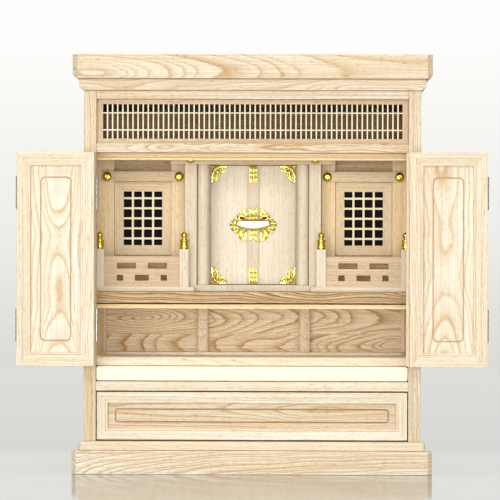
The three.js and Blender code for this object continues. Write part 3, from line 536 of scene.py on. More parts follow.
def dress_niche():
    swirl = Figure(4.4 * MM, -6 * MM, 34 * MM, 0.14, 0.1, 12 * MM, 0.2, 1.2, 2.6 * MM)
    low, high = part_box("niche_back")
    joint = low.z + 27 * MM
    lower = wood("niche_plank_lower", X, Z, Vector((0.02, low.y, joint - 12 * MM)), SHADED_ASH, swirl, 12.4)
    upper = wood("niche_plank_upper", X, Z, Vector((0.05, low.y, joint + 20 * MM)), SHADED_ASH,
                 swirl._replace(spacing=3.0 * MM, slope=-0.12, pith_across=4 * MM, ripple=1.8 * MM), 31.9)
    dress("niche_back", "inner_ash", [lower, upper], 0.3 * MM,
          lambda face: int(face.calc_center_median().z > joint))
    for seed, (word, side) in enumerate(SIDES):
        strip = wood("niche_strip_" + word, Z, X, middle("niche_side_" + word), SHADED_ASH, RIFT, 5 + seed)
        dress("niche_side_" + word, "inner_ash", strip, 0.5 * MM)
        batten_figure = Figure(2.6 * MM, 2 * MM, 6 * MM, 0.3, 0.0, 5 * MM, 0.05, 1.0, 2.5 * MM)
        batten = wood("niche_batten_" + word, Z, X, middle("niche_batten_" + word), BRIGHT_ASH, batten_figure,
                      8.3 + 4 * seed)
        dress("niche_batten_" + word, "inner_ash", batten, 0.35 * MM)
    board = wood("niche_top", X, Z, middle("niche_top_board"), WARM_SHADE_ASH,
                 RIFT._replace(contrast=0.35, pith_across=60 * MM), 15.1)
    dress("niche_top_board", "inner_ash", board, 0.4 * MM)
    # The floor board and skirting take a paler ash than elsewhere: painted light, to offset the shade under the shelf
    floor = wood("niche_floor", X, Y, middle("niche_floor"), Tone("fff8ea", "e6cfa8", "f7ebd3", "cdb083"),
                 CATHEDRAL._replace(contrast=0.6, pith_through=-40 * MM), 19.6)
    low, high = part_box("niche_floor")
    sill_depth, step = 12 * MM, 1.1 * MM
    sill = block((low.x, high.x), (low.y, low.y + sill_depth), (low.z, high.z - step), 0)
    front_top = [edge for edge in sill.edges
                 if all(v.co.y < low.y + MM and v.co.z > high.z - 2 * MM for v in edge.verts)]
    bmesh.ops.bevel(sill, geom=front_top, offset=4.6 * MM, offset_type="OFFSET", segments=6, profile=0.5,
                    affect="EDGES", clamp_overlap=True, material=-1)
    sunk, skirting = 4.5 * MM, 12 * MM
    back_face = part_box("niche_back")[0].y
    board = block((low.x, high.x), (low.y + sill_depth + 0.3 * MM, high.y), (low.z, high.z - sunk), 0.3 * MM)
    foot_z = (high.z - sunk + 0.05 * MM, high.z)
    feet = [block((low.x, high.x), (back_face - skirting, high.y), foot_z, 0.4 * MM)]
    for word, side in SIDES:
        strip_low, strip_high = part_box("niche_side_" + word)
        feet.append(block((strip_low.x, strip_high.x), (strip_low.y, back_face - skirting - 0.05 * MM), foot_z,
                          0.4 * MM))
    sill_wood = wood("niche_sill", X, Z, middle("niche_floor"), BRIGHT_ASH, RIFT._replace(contrast=0.4), 17.2)
    piece = Piece("niche_floor_wood").take(soften(sill, 0.3 * MM), sill_wood).take(board, floor)
    for foot in feet:
        piece.take(foot, floor)
    piece.done(BODY_OF["niche_floor"], "ash", "niche_floor")


# Frames with mitred corners, and the grooved panels in them

def moulding(land, width, thickness, lip, groove):
    """Section of a frame: flat land, a narrow quirk, a slope, a second quirk, a round bead next to the
    panel, and the groove for the panel. Points are (inset from the outer edge, depth behind the face)."""
    quirk, bead, tongue = 0.9 * MM, 3.6 * MM, 5 * MM
    slope_start, bead_start = land + quirk, width - bead
    points = [(0, 0), (land, 0), (land + 0.1 * MM, 1.5 * MM), (slope_start - 0.2 * MM, 1.5 * MM),
              (slope_start, 0.6 * MM), (bead_start - 0.6 * MM, 2.3 * MM), (bead_start, 3.1 * MM)]
    centre, rise, steps = bead_start + bead / 2, 1.5 * MM, 8
    for i in range(1, steps):
        angle = math.pi * (1 - i / steps)
        points.append((centre + bead / 2 * math.cos(angle), 3.1 * MM - rise * math.sin(angle)))
    points += [(width, 3.4 * MM), (width, lip), (width - tongue, lip), (width - tongue, groove), (width, groove)]
    return points + [(width, thickness), (0, thickness)]


def mitred_frame(node, facing, section, upright_finish, level_finish, slot, edge=0.25 * MM):
    """Frame of four lengths of one moulding, cut at 45 degrees where they meet."""
    low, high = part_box(node)
    face = low.y if facing > 0 else high.y
    corners = [(low.x, low.z), (high.x, low.z), (high.x, high.z), (low.x, high.z)]
    inward = [(1, 1), (-1, 1), (-1, -1), (1, -1)]
    piece = Piece(node + "_wood")
    for i in range(4):
        j = (i + 1) % 4
        part = new_part()
        ends = []
        for k in (i, j):
            (x, z), (sx, sz) = corners[k], inward[k]
            ends.append([part.verts.new((x + sx * inset, face + facing * back, z + sz * inset))
                         for inset, back in section])
        part.faces.new(ends[0])
        part.faces.new(list(reversed(ends[1])))
        for m in range(len(section)):
            n = (m + 1) % len(section)
            part.faces.new((ends[0][m], ends[1][m], ends[1][n], ends[0][n]))
        bmesh.ops.recalc_face_normals(part, faces=part.faces)
        soften(part, edge, 1)
        piece.take(part, level_finish if i % 2 == 0 else upright_finish)
    return piece.done(BODY_OF[node], slot, node)


def rounded_outline(x, z, radius, steps=8):
    """Rounded rectangle in the front view, from its lower left corner on, anticlockwise."""
    centres = ((x[0] + radius, z[0] + radius), (x[1] - radius, z[0] + radius),
               (x[1] - radius, z[1] - radius), (x[0] + radius, z[1] - radius))
    points = []
    for corner, (u, v) in enumerate(centres):
        for i in range(steps + 1):
            angle = math.pi * (1 + corner / 2) + math.pi / 2 * i / steps
            points.append((u + radius * math.cos(angle), v + radius * math.sin(angle)))
    return points


def grooved_panel(node, facing, side_inset, end_inset, radius, finish, slot):
    """Loose panel whose face has a cut groove round a rounded rectangle, coloured darker inside: partly cut end grain,
    partly painted shade.
    """
    low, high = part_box(node)
    face, back = (low.y, high.y) if facing > 0 else (high.y, low.y)
    overlap = 4.7 * MM
    groove_half, groove_depth = 1.2 * MM, 1.25 * MM
    x = (low.x + overlap + side_inset, high.x - overlap - side_inset)
    z = (low.z + overlap + end_inset, high.z - overlap - end_inset)
    loops = []
    for offset, sink in ((-groove_half, 0), (-groove_half * 0.45, groove_depth * 0.75), (0, groove_depth),
                         (groove_half * 0.45, groove_depth * 0.75), (groove_half, 0)):
        loops.append((rounded_outline((x[0] + offset, x[1] - offset), (z[0] + offset, z[1] - offset),
                                      radius - offset), sink))
    part = new_part()
    rings = [[part.verts.new((u, face + facing * sink, v)) for u, v in points] for points, sink in loops]
    # The groove's inner rings are marked for the darker colour: partly cut end grain, partly painted shade
    groove_grain_and_shade = part.verts.layers.float["groove_grain_and_shade"]
    for ring in rings[1:-1]:
        for vertex in ring:
            vertex[groove_grain_and_shade] = 1.0
    count = len(rings[0])
    for outer, inner in zip(rings, rings[1:]):
        for i in range(count):
            j = (i + 1) % count
            part.faces.new((outer[i], outer[j], inner[j], inner[i]))
    part.faces.new(rings[-1])
    border = [part.verts.new((u, face, v)) for u, v in
              ((low.x, low.z), (high.x, low.z), (high.x, high.z), (low.x, high.z))]
    flat = [[Vector((v.co.x, v.co.z, 0)) for v in loop] for loop in (border, rings[0])]
    both = border + rings[0]
    for triangle in tessellate_polygon(flat):
        part.faces.new([both[i] for i in triangle])
    rear = [part.verts.new((v.co.x, back, v.co.z)) for v in border]
    part.faces.new(rear)
    for i in range(4):
        j = (i + 1) % 4
        part.faces.new((border[i], rear[i], rear[j], border[j]))
    bmesh.ops.recalc_face_normals(part, faces=part.faces)
    return Piece(node + "_wood").take(part, finish).done(BODY_OF[node], slot, node)


# The leaf whose free edge carries a thin strip that laps behind its neighbour when the doors are shut
MEETING_LEAF = "right_outer_leaf"


def dress_doors():
    section = moulding(8.2 * MM, 19.6 * MM, 17 * MM, 7.3 * MM, 12.9 * MM)
    for number, (word, side) in enumerate(SIDES):
        for place, facing in (("inner", -1), ("outer", 1)):
            name = f"{word}_{place}_leaf"
            seed = 60 + 13 * number + (5 if place == "inner" else 0)
            centre = middle(name + "_frame")
            upright = wood(name + "_stiles", Z, X, centre, BRIGHT_ASH,
                           Figure(3.0 * MM, -side * 24 * MM, 34 * MM, 0.06, 0.0, 6 * MM, 0.25, 0.8, 1.4 * MM), seed)
            level = wood(name + "_rails", X, Z, centre, BRIGHT_ASH,
                         Figure(3.0 * MM, 60 * MM, 26 * MM, 0.05, 0.0, 5 * MM, 0.15, 0.7, 1.4 * MM), seed + 2)
            mitred_frame(name + "_frame", facing, section, upright, level, "ash")
            figure = Figure(5.0 * MM, -side * 5 * MM, facing * 38.4 * MM, -facing * 0.03, facing * 0.62, 10 * MM,
                            0.17, 1.05, 1.8 * MM)
            panel = wood(name + "_panel", Z, X, middle(name + "_panel"), CREAM_ASH, figure, seed + 4)
            grooved_panel(name + "_panel", facing, 14.1 * MM, 16.7 * MM, 6.6 * MM, panel, "ash")
            if name == MEETING_LEAF:
                low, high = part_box(name + "_frame")
                strip_x = (low.x - 4.4 * MM, low.x + 10 * MM)
                strip_y = (high.y + 0.1 * MM, high.y + 1.7 * MM)
                Piece("meeting_strip").take(
                    block(strip_x, strip_y, (low.z, high.z), 0.4 * MM), upright).done(name, "ash")


def dress_drawer():
    section = moulding(6.6 * MM, 16.1 * MM, 18 * MM, 7.3 * MM, 12.9 * MM)
    centre = middle("drawer_front_frame")
    upright = wood("drawer_stiles", Z, X, centre, BRIGHT_ASH, RIFT._replace(contrast=0.5), 81.0)
    level = wood("drawer_rails", X, Z, centre, BRIGHT_ASH._replace(light="f9f1e6", warm="f2e4cd"),
                 Figure(3.2 * MM, 70 * MM, 26 * MM, 0.03, 0.0, 6 * MM, 0.3, 0.65, 1.4 * MM), 83.0)
    mitred_frame("drawer_front_frame", 1, section, upright, level, "ash")
    figure = Figure(2.6 * MM, 9 * MM, 13 * MM, 0.03, 0.0, 7 * MM, 0.3, 1.0, 1.6 * MM)
    panel = wood("drawer_panel", X, Z, middle("drawer_front_panel"), PALE_ASH, figure, 85.5)
    grooved_panel("drawer_front_panel", 1, 10.8 * MM, 8.9 * MM, 4.3 * MM, panel, "ash")
    box = wood("drawer_box", Y, Z, middle("drawer_box"), PALE_ASH, STRAIGHT, 87.0)
    dress("drawer_box", "inner_ash", box, 0.6 * MM)
    board = wood("pull_out_board", X, Z, middle("pull_out_board"), Tone("faf4e0", "f1e4c6", "f7eed6", "e8d7b2"),
                 STRAIGHT._replace(contrast=0.3), 89.0)
    dress("pull_out_board", "cream_board", board, 0.5 * MM)


# Hinges: steel knuckles in five lengths, a plate on one of the two pieces they join, and screws

def knuckles(axis_x, axis_y, z, radius):
    lengths = 5
    gap = 0.9 * MM
    pitch = (z[1] - z[0]) / lengths
    parts = []
    for i in range(lengths):
        low, high = z[0] + i * pitch + gap / 2, z[0] + (i + 1) * pitch - gap / 2
        chamfer = 0.35 * MM
        profile = ((radius - chamfer, 0), (radius, chamfer), (radius, high - low - chamfer),
                   (radius - chamfer, high - low))
        parts.append(lathe(profile, (axis_x, axis_y, low), Z, 24))
    parts.append(lathe(((radius * 0.7, 0), (radius * 0.7, z[1] - z[0] - 0.2 * MM)),
                       (axis_x, axis_y, z[0] + 0.1 * MM), Z, 16))
    return parts


def screw(x, y, z, facing):
    """Countersunk head with a cross recess, its axis along X."""
    radius, rise = 1.9 * MM, 0.28 * MM
    head = lathe(((radius, 0), (radius * 0.92, rise * 0.7), (radius * 0.5, rise)), (0, 0, 0), X, 20)
    for vertex in head.verts:
        vertex.co = Vector((x + facing * vertex.co.x, y + vertex.co.y, z + vertex.co.z))
    bmesh.ops.recalc_face_normals(head, faces=head.faces)
    arms = []
    for tall, wide in ((1.1 * MM, 0.22 * MM), (0.22 * MM, 1.1 * MM)):
        near = x + facing * rise * 0.9
        far = x + facing * rise * 1.15
        arms.append(block(sorted((near, far)), (y - wide, y + wide), (z - tall, z + tall), 0.05 * MM))
    return head, arms


def dress_hinges():
    bright = steel("hinge_steel")
    recess = painted_recess_shade()
    for word, side in SIDES:
        for kind in ("stile", "fold"):
            for level in ("lower", "upper"):
                node = f"{word}_{kind}_hinge_{level}"
                low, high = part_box(node)
                radius = 2.5 * MM
                # The plate's side of the box is flush with the axis less its own thickness
                plate_out = side if kind == "stile" else -side
                axis_x = (low.x + radius) if plate_out > 0 else (high.x - radius)
                axis_x = (low.x + high.x) / 2
                axis_y = low.y + radius
                z = (low.z, high.z)
                piece = Piece(node + "_metal")
                for part in knuckles(axis_x, axis_y, z, radius):
                    piece.take(part, bright)
                thick = 0.7 * MM
                plate_x = sorted((axis_x, axis_x + plate_out * thick))
                piece.take(block(plate_x, (axis_y, high.y), z, 0.12 * MM), bright)
                for share in (0.16, 0.5, 0.84):
                    head, arms = screw(plate_x[0] if plate_out > 0 else plate_x[1],
                                       (axis_y + radius + high.y) / 2 + (1 if share == 0.5 else -1) * 1.5 * MM,
                                       low.z + (high.z - low.z) * share, -plate_out)
                    piece.take(head, bright)
                    for arm in arms:
                        # The cross recess is coloured dark: painted shade
                        piece.take(arm, recess)
                piece.done(BODY_OF[node], "hinge_steel", node)


def painted_recess_shade():
    """Painted shade: a dark colour for the bottom of screw recesses and for the openings in the pierced ornament."""
    shader = Shader("recess_painted_shade")
    place = shader.node("ShaderNodeTexCoord").outputs["Object"]
    cloud = shader.noise(shader.vector("MULTIPLY", place, (700, 700, 700)), 2.0)
    shader.feed(shader.surface.inputs["Base Color"], shader.mix(cloud, linear("2a2118"), linear("4a3a26")))
    shader.feed(shader.surface.inputs["Roughness"], shader.math("MULTIPLY_ADD", cloud, 0.2, 0.5))
    shader.bump(cloud, 0.3, 0.1 * MM)
    return shader.material


# Transom: thin frame, slats and two bars

def dress_transom():
    low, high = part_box("transom_lattice")
    slat_count, slat_width, bar, end_row = 58, 1.9 * MM, 1.7 * MM, 11.8 * MM
    side_strip, end_strip = 8.6 * MM, 6.8 * MM
    pink_level = wood("transom_rails", X, Z, middle("transom_lattice"), PINK_WOOD,
                      STRAIGHT._replace(contrast=0.5), 91.0)
    pink_upright = wood("transom_stiles", Z, X, middle("transom_lattice"), PINK_WOOD, STRAIGHT, 92.0)
    pale = wood("transom_slats", Z, X, middle("transom_lattice"), SLAT_WOOD, STRAIGHT, 93.0)
    pale_bar = wood("transom_bars", X, Z, middle("transom_lattice"), SLAT_WOOD, STRAIGHT, 94.0)
    field_x = (low.x + side_strip, high.x - side_strip)
    field_z = (low.z + end_strip, high.z - end_strip)
    y = (low.y, high.y)
    piece = Piece("transom_lattice_wood")
    for z in ((low.z, field_z[0]), (field_z[1], high.z)):
        piece.take(block((low.x, high.x), y, z, 0.4 * MM), pink_level)
    for x in ((low.x, field_x[0]), (field_x[1], high.x)):
        piece.take(block(x, (y[0] + 0.05 * MM, y[1]), field_z, 0.3 * MM), pink_upright)
    gap = (field_x[1] - field_x[0] - slat_count * slat_width) / (slat_count + 1)
    recess = 0.5 * MM
    for i in range(slat_count):
        left = field_x[0] + gap + i * (gap + slat_width)
        piece.take(block((left, left + slat_width), (y[0] + recess, y[1] - recess), field_z, 0.25 * MM), pale)
    for z in (field_z[0] + end_row, field_z[1] - end_row - bar):
        bar_y = (y[0] + recess - 0.12 * MM, y[1] - recess - 0.12 * MM)
        piece.take(block(field_x, bar_y, (z, z + bar), 0.25 * MM), pale_bar)
    piece.done("cabinet", "lattice_wood", "transom_lattice")


# Middle shrine

def dress_middle_shrine():
    low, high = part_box("shrine_case")
    base_top = low.z + 9.2 * MM
    upright = wood("shrine_posts", Z, X, middle("shrine_case"), CYPRESS, STRAIGHT._replace(contrast=0.6), 101.0)
    level = wood("shrine_base", X, Z, middle("shrine_case"), CYPRESS, STRAIGHT._replace(contrast=0.5), 102.0)
    dress("shrine_case", "cypress", [upright, level], 0.5 * MM,
          lambda face: int(face.calc_center_median().z <= base_top + 0.1 * MM))
    for number, (word, side) in enumerate(SIDES):
        node = "shrine_column_" + word
        column_low, column_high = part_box(node)
        centre = (column_low + column_high) / 2
        radius = 8.9 * MM
        height = column_high.z - column_low.z
        chamfer = 0.6 * MM
        profile = ((radius - chamfer, 0), (radius, chamfer), (radius, height - chamfer), (radius - chamfer, height))
        finish = wood(node, Z, X, centre, CYPRESS, STRAIGHT._replace(contrast=0.3), 103.0 + number)
        column = lathe(profile, (centre.x, centre.y, column_low.z), Z, 48)
        Piece(node + "_wood").take(column, finish).done(BODY_OF[node], "cypress", node)
        door = "shrine_door_" + word
        figure = Figure(3.4 * MM, side * 150 * MM, 60 * MM, 0.012, 0.0, 3 * MM, 0.4, 0.34, 0.5 * MM)
        finish = wood(door, Z, X, middle(door), DOOR_CYPRESS, figure, 105.0 + number)
        dress(door, "cypress", finish, 0.4 * MM)
    beam = wood("shrine_beam", X, Z, middle("shrine_beam"), TAN_CYPRESS, STRAIGHT._replace(contrast=0.4), 108.0)
    dress("shrine_beam", "cypress", beam, 0.5 * MM)
    batten = wood("shrine_batten", Z, X, middle("shrine_meeting_batten"), CYPRESS,
                  STRAIGHT._replace(contrast=0.4), 109.0)
    dress("shrine_meeting_batten", "cypress", batten, 0.5 * MM)


# Side shrines and fences

def dress_side_shrine(word, side):
    node = word + "_shrine_front"
    low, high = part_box(node)
    window_low, window_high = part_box(word + "_shrine_lattice")
    seed = 120.0 + side * 3
    upright = wood(node + "_uprights", Z, X, middle(node), JAMB_CYPRESS, STRAIGHT._replace(contrast=0.55), seed)
    level = wood(node + "_levels", X, Z, middle(node), TAN_CYPRESS, STRAIGHT._replace(contrast=0.4), seed + 1)
    # The wall over the beam is given the darker shelf tone: painted shade, for the shade under the lintel
    shaded_wall = wood(node + "_wall", X, Z, middle(node), SHADED_SHELF_ASH, STRAIGHT._replace(contrast=0.3), seed + 9)
    # The lower board behind the fence takes a darker tone: painted shade, for the fence's shadow on it
    lower = wood(node + "_lower", X, Z, middle(node), FENCE_SHADE_CYPRESS, STRAIGHT._replace(contrast=0.4), seed + 10)
    fit, pilaster = 0.3 * MM, 5.8 * MM
    beam_low, beam_high = window_high.z + fit, window_high.z + fit + 14.8 * MM
    board_face, beam_back = low.y + 6 * MM, low.y + 6 * MM
    inner, outer = (abs(low.x), abs(high.x)) if side > 0 else (abs(high.x), abs(low.x))
    window_inner = min(abs(window_low.x), abs(window_high.x)) - fit
    window_outer = max(abs(window_low.x), abs(window_high.x)) + fit

    def across(near, far):
        return sorted((side * near, side * far))

    joint = 0.1 * MM
    front = Piece(node + "_wood")
    for x in ((inner, window_inner - joint), (window_outer + joint, outer)):
        front.take(block(across(*x), (board_face, high.y), (low.z, high.z), 0.4 * MM), upright)
    front.take(block(across(outer - pilaster, outer), (low.y + 1 * MM, board_face + 1 * MM),
                     (low.z, high.z), 0.4 * MM), upright)
    between = across(window_inner, window_outer)
    front.take(block(between, (board_face + 0.3 * MM, high.y), (low.z, window_low.z - fit), 0.4 * MM), lower)
    front.take(block(across(inner, outer - pilaster - joint), (low.y, beam_back), (beam_low, beam_high),
                     0.45 * MM), level)
    front.take(block(between, (beam_back - joint, high.y), (beam_low, beam_high), 0.3 * MM), level)
    front.take(block(between, (high.y - 4 * MM, high.y), (beam_high, high.z), 0.2 * MM), shaded_wall)
    front.done("cabinet", "cypress", node)

    lattice = word + "_shrine_lattice"
    low, high = window_low, window_high
    side_strip, end_strip, bar, end_row = 13.2 * MM, 14.4 * MM, 3.0 * MM, 8.5 * MM
    columns, rows = 4, 6
    tan_upright = wood(lattice + "_stiles", Z, X, middle(lattice), TAN_CYPRESS,
                       STRAIGHT._replace(contrast=0.4), seed + 2)
    tan_level = wood(lattice + "_rails", X, Z, middle(lattice), TAN_CYPRESS,
                     STRAIGHT._replace(contrast=0.4), seed + 3)
    frame_piece = Piece(lattice + "_wood")
    field_x = (low.x + side_strip, high.x - side_strip)
    field_z = (low.z + end_strip, high.z - end_strip)
    corners = [((low.x, low.z), (field_x[0], field_z[0])), ((high.x, low.z), (field_x[1], field_z[0])),
               ((high.x, high.z), (field_x[1], field_z[1])), ((low.x, high.z), (field_x[0], field_z[1]))]
    for i in range(4):
        j = (i + 1) % 4
        outline = [corners[i][0], corners[j][0], corners[j][1], corners[i][1]]
        strip = prism(outline, low.y, high.y, lambda u, v, w: (u, w, v), 0.25 * MM)
        frame_piece.take(strip, tan_level if i % 2 == 0 else tan_upright)
    pale_upright = wood(lattice + "_bars_upright", Z, X, middle(lattice), SLAT_WOOD, STRAIGHT, seed + 4)
    pale_level = wood(lattice + "_bars_level", X, Z, middle(lattice), SLAT_WOOD, STRAIGHT, seed + 5)
    set_back = 0.4 * MM
    column = (field_x[1] - field_x[0] - (columns - 1) * bar) / columns
    y = (low.y + set_back, high.y - set_back)
    for i in range(columns - 1):
        left = field_x[0] + (i + 1) * column + i * bar
        frame_piece.take(block((left, left + bar), y, field_z, 0.3 * MM), pale_upright)
    inner = field_z[1] - field_z[0] - 2 * end_row - (rows - 1) * bar
    bottom = field_z[0] + end_row
    level_y = (y[0] + 0.15 * MM, y[1] + 0.15 * MM)
    for row in range(rows - 1):
        frame_piece.take(block(field_x, level_y, (bottom, bottom + bar), 0.3 * MM), pale_level)
        bottom += bar + inner / (rows - 2)
    frame_piece.done(BODY_OF[lattice], "cypress", lattice)

    backing_y = (high.y + 0.5 * MM, high.y + 2.0 * MM)
    backing = Piece(word + "_lattice_lining")
    backing.take(block((low.x, high.x), backing_y, (low.z, high.z), 0.3 * MM), lining(word + "_lining"))
    backing.done("cabinet", "dark_lining")


def perforated(x, y, z, holes, width):
    """Board with rectangular holes, built of the cells of a grid. holes are ((x0, x1), (z0, z1))."""
    part = new_part()
    xs = sorted({*x, *(v for hole in holes for v in hole[0])})
    zs = sorted({*z, *(v for hole in holes for v in hole[1])})

    def solid(i, k):
        if not (0 <= i < len(xs) - 1 and 0 <= k < len(zs) - 1):
            return False
        u, v = (xs[i] + xs[i + 1]) / 2, (zs[k] + zs[k + 1]) / 2
        return not any(a[0] < u < a[1] and b[0] < v < b[1] for a, b in holes)

    known = {}

    def vertex(i, k, side):
        key = (i, k, side)
        if key not in known:
            known[key] = part.verts.new((xs[i], y[side], zs[k]))
        return known[key]

    for i in range(len(xs) - 1):
        for k in range(len(zs) - 1):
            if not solid(i, k):
                continue
            for near in (0, 1):
                part.faces.new([vertex(i, k, near), vertex(i + 1, k, near), vertex(i + 1, k + 1, near),
                                vertex(i, k + 1, near)])
            walls = (((i - 1, k), (i, k), (i, k + 1)), ((i + 1, k), (i + 1, k), (i + 1, k + 1)),
                     ((i, k - 1), (i, k), (i + 1, k)), ((i, k + 1), (i, k + 1), (i + 1, k + 1)))
            for beyond, a, b in walls:
                if not solid(*beyond):
                    part.faces.new([vertex(*a, 0), vertex(*b, 0), vertex(*b, 1), vertex(*a, 1)])
    bmesh.ops.recalc_face_normals(part, faces=part.faces)
    return soften(part, width)


def dress_fence(word, side):
    node = word + "_fence"
    low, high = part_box(node)
    centre = middle(node)
    level = wood(node + "_rails", X, Z, centre, FENCE_CYPRESS, STRAIGHT._replace(contrast=0.9), 130.0 + side)
    upright = wood(node + "_posts", Z, X, centre, CYPRESS, STRAIGHT._replace(contrast=0.35), 134.0 + side)
    inner, outer = (abs(low.x), abs(high.x)) if side > 0 else (abs(high.x), abs(low.x))
    post, post_inner, sill_height, panel_half = 14 * MM, inner + 8.3 * MM, 6.8 * MM, 3 * MM
    panel_top = low.z + sill_height + 44.5 * MM

    def across(near, far):
        return sorted((side * near, side * far))

    fence = Piece(node + "_wood")
    sill_top = low.z + sill_height
    sill = wood(node + "_sill", X, Z, centre, CYPRESS, STRAIGHT._replace(contrast=0.6), 138.0 + side)
    fence.take(block(across(inner, outer), (low.y, high.y), (low.z, sill_top), 0.5 * MM), sill)
    for x in (post_inner, outer - post):
        fence.take(block(across(x, x + post), (centre.y - post / 2, centre.y + post / 2),
                         (sill_top - 0.5 * MM, high.z), 1.1 * MM), upright)
    middle_x = (post_inner + outer) / 2
    half_span, cut_height, upper_top, pitch = 36.7 * MM, 8.4 * MM, panel_top - 9.5 * MM, 17.8 * MM
    upper_rib, end_cut, middle_cut = 17.4 * MM, 9.2 * MM, 20.6 * MM
    rows = (
        (upper_top, ((-half_span, -upper_rib / 2), (upper_rib / 2, half_span))),
        (upper_top - pitch, ((-half_span, end_cut - half_span), (-middle_cut / 2, middle_cut / 2),
                             (half_span - end_cut, half_span))),
    )
    holes = [(across(middle_x + a, middle_x + b), (top - cut_height, top)) for top, cuts in rows for a, b in cuts]
    panel = perforated(across(post_inner + post - 1 * MM, outer - post + 1 * MM),
                       (centre.y - panel_half, centre.y + panel_half), (sill_top - 0.5 * MM, panel_top),
                       holes, 0.35 * MM)
    fence.take(panel, level)
    fence.done(BODY_OF[node], "cypress", node)


# Gold: finials, domes, embossed plates and the lock

def dress_finials(bright):
    outline = (
        (0.92, 0.0), (1.0, 0.012), (1.0, 0.05), (0.94, 0.065), (0.86, 0.085), (0.90, 0.2), (0.80, 0.36),
        (0.83, 0.40), (0.94, 0.43), (0.96, 0.47), (0.92, 0.52), (0.72, 0.55), (0.52, 0.58), (0.45, 0.62),
        (0.46, 0.65), (0.58, 0.685), (0.69, 0.73), (0.73, 0.78), (0.71, 0.83), (0.62, 0.88), (0.45, 0.925),
        (0.25, 0.96), (0.1, 0.985), (0.02, 1.0),
    )
    for word, side in SIDES:
        for place in ("inner", "outer"):
            node = f"{word}_finial_{place}"
            low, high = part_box(node)
            centre = (low + high) / 2
            radius, height = (high.x - low.x) / 2 * 1.1, high.z - low.z
            profile = [(r * radius, h * height) for r, h in outline]
            part = lathe(profile, (centre.x, centre.y, low.z), Z, 48)
            Piece(node + "_gold").take(part, bright).done(BODY_OF[node], "gold", node)


def dome(name, x, z, face, radius, height, bright):
    """Domed nail cover on a thin rim, with a small raised button."""
    steps, rim, button = 12, 0.88, 0.2
    profile = [(radius, 0), (radius, 0.45 * MM), (radius * 0.95, 0.7 * MM), (radius * (rim + 0.02), 0.55 * MM)]
    for i in range(1, steps):
        angle = math.pi / 2 * i / steps
        reach = radius * rim * math.cos(angle)
        if reach > radius * button:
            profile.append((reach, 0.6 * MM + height * math.sin(angle)))
    crown = 0.6 * MM + height
    profile += [(radius * button, crown - 0.2 * MM), (radius * button * 0.8, crown + 0.25 * MM),
                (radius * button * 0.4, crown + 0.4 * MM), (0.02 * MM, crown + 0.42 * MM)]
    part = lathe([(r, -h) for r, h in profile], (x, face, z), Y, 40)
    # The rim and a ring round the button are marked dark: painted shade and painted dark reflection
    hollow = part.verts.layers.float["hollow"]
    for vertex in part.verts:
        share = math.hypot(vertex.co.x - x, vertex.co.z - z) / radius
        vertex[hollow] = 0.9 if share > rim or abs(share - button) < 0.02 else 0.0
    Piece(name).take(part, bright).done("cabinet", "gold")


def dress_domes(bright):
    radius, height = 6.9 * MM, 2.3 * MM
    for word, side in SIDES:
        beam_face = depth(86)
        for place, x in (("inner", 109.5), ("outer", 216.5)):
            dome(f"{word}_side_dome_{place}", side * x * MM, 432.4 * MM, beam_face, radius, height, bright)
        dome(f"{word}_middle_dome", side * 91.4 * MM, 457.9 * MM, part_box("shrine_beam")[0].y, radius, height, bright)


def stroke_height(points, strokes, width):
    """Height from 0 to 1 of rounded ridges that follow strokes, each a run of points."""
    best = np.full(len(points), 9.0)
    for stroke in strokes:
        run = np.array(stroke)
        for a, b in zip(run, run[1:]):
            along = b - a
            share = np.clip(((points - a) @ along) / max(along @ along, 1e-12), 0, 1)
            gap = np.linalg.norm(points - (a + share[:, None] * along), axis=1)
            best = np.minimum(best, gap)
    return np.exp(-(best / width) ** 2)


def embossed_plate(outline, centre, strokes, thick, relief, place, rings=22, spacing=1.0):
    """Thin plate whose face carries ridges. outline and strokes are in the plate's own plane, in metres.
    place turns (u, v, rise) into a point."""
    loop = []
    closed = list(outline) + [outline[0]]
    for (u0, v0), (u1, v1) in zip(closed, closed[1:]):
        steps = max(1, round(math.hypot(u1 - u0, v1 - v0) / (spacing * 0.45 * MM)))
        for i in range(steps):
            loop.append((u0 + (u1 - u0) * i / steps, v0 + (v1 - v0) * i / steps))
    edge = np.array(loop)
    middle_point = np.array(centre)
    shares = np.linspace(1, 0, rings + 1)[:-1]
    grid = np.concatenate([middle_point + (edge - middle_point) * s for s in shares] + [middle_point[None]])
    ridges = stroke_height(grid, strokes, 0.82 * MM)
    inner_rim = middle_point + (edge - middle_point) * (1 - 1.6 / rings)
    rim = stroke_height(grid, [np.vstack([inner_rim, inner_rim[:1]])[::2]], 0.5 * MM)
    height = np.maximum(ridges, rim)
    part = new_part()
    hollow = part.verts.layers.float["hollow"]
    count = len(edge)
    verts = []
    height[:count] = 0.0
    # The low ground between the ridges, and the plate's edge, are marked for painted shade in the gold
    for (u, v), h in zip(grid, height):
        vertex = part.verts.new(place(u, v, thick + relief * h))
        vertex[hollow] = float(max(0.0, 1 - 3.0 * h))
        verts.append(vertex)
    base = [part.verts.new(place(u, v, 0)) for u, v in edge]
    for vertex in base:
        vertex[hollow] = 1.0
    for i in range(count):
        j = (i + 1) % count
        part.faces.new((base[i], base[j], verts[j], verts[i]))
        for ring in range(rings - 1):
            here, below = ring * count, (ring + 1) * count
            part.faces.new((verts[here + i], verts[here + j], verts[below + j], verts[below + i]))
        part.faces.new((verts[(rings - 1) * count + i], verts[(rings - 1) * count + j], verts[-1]))
    part.faces.new(list(reversed(base)))
    bmesh.ops.recalc_face_normals(part, faces=part.faces)
    return part


def scroll(centre, radius, start, turns, direction=1, steps=30):
    """Spiral stroke that winds in to its centre."""
    points = []
    for i in range(steps + 1):
        share = i / steps
        angle = math.radians(start) + direction * share * turns * 2 * math.pi
        reach = radius * (1 - 0.85 * share)
        points.append((centre[0] + reach * math.cos(angle), centre[1] + reach * math.sin(angle)))
    return points


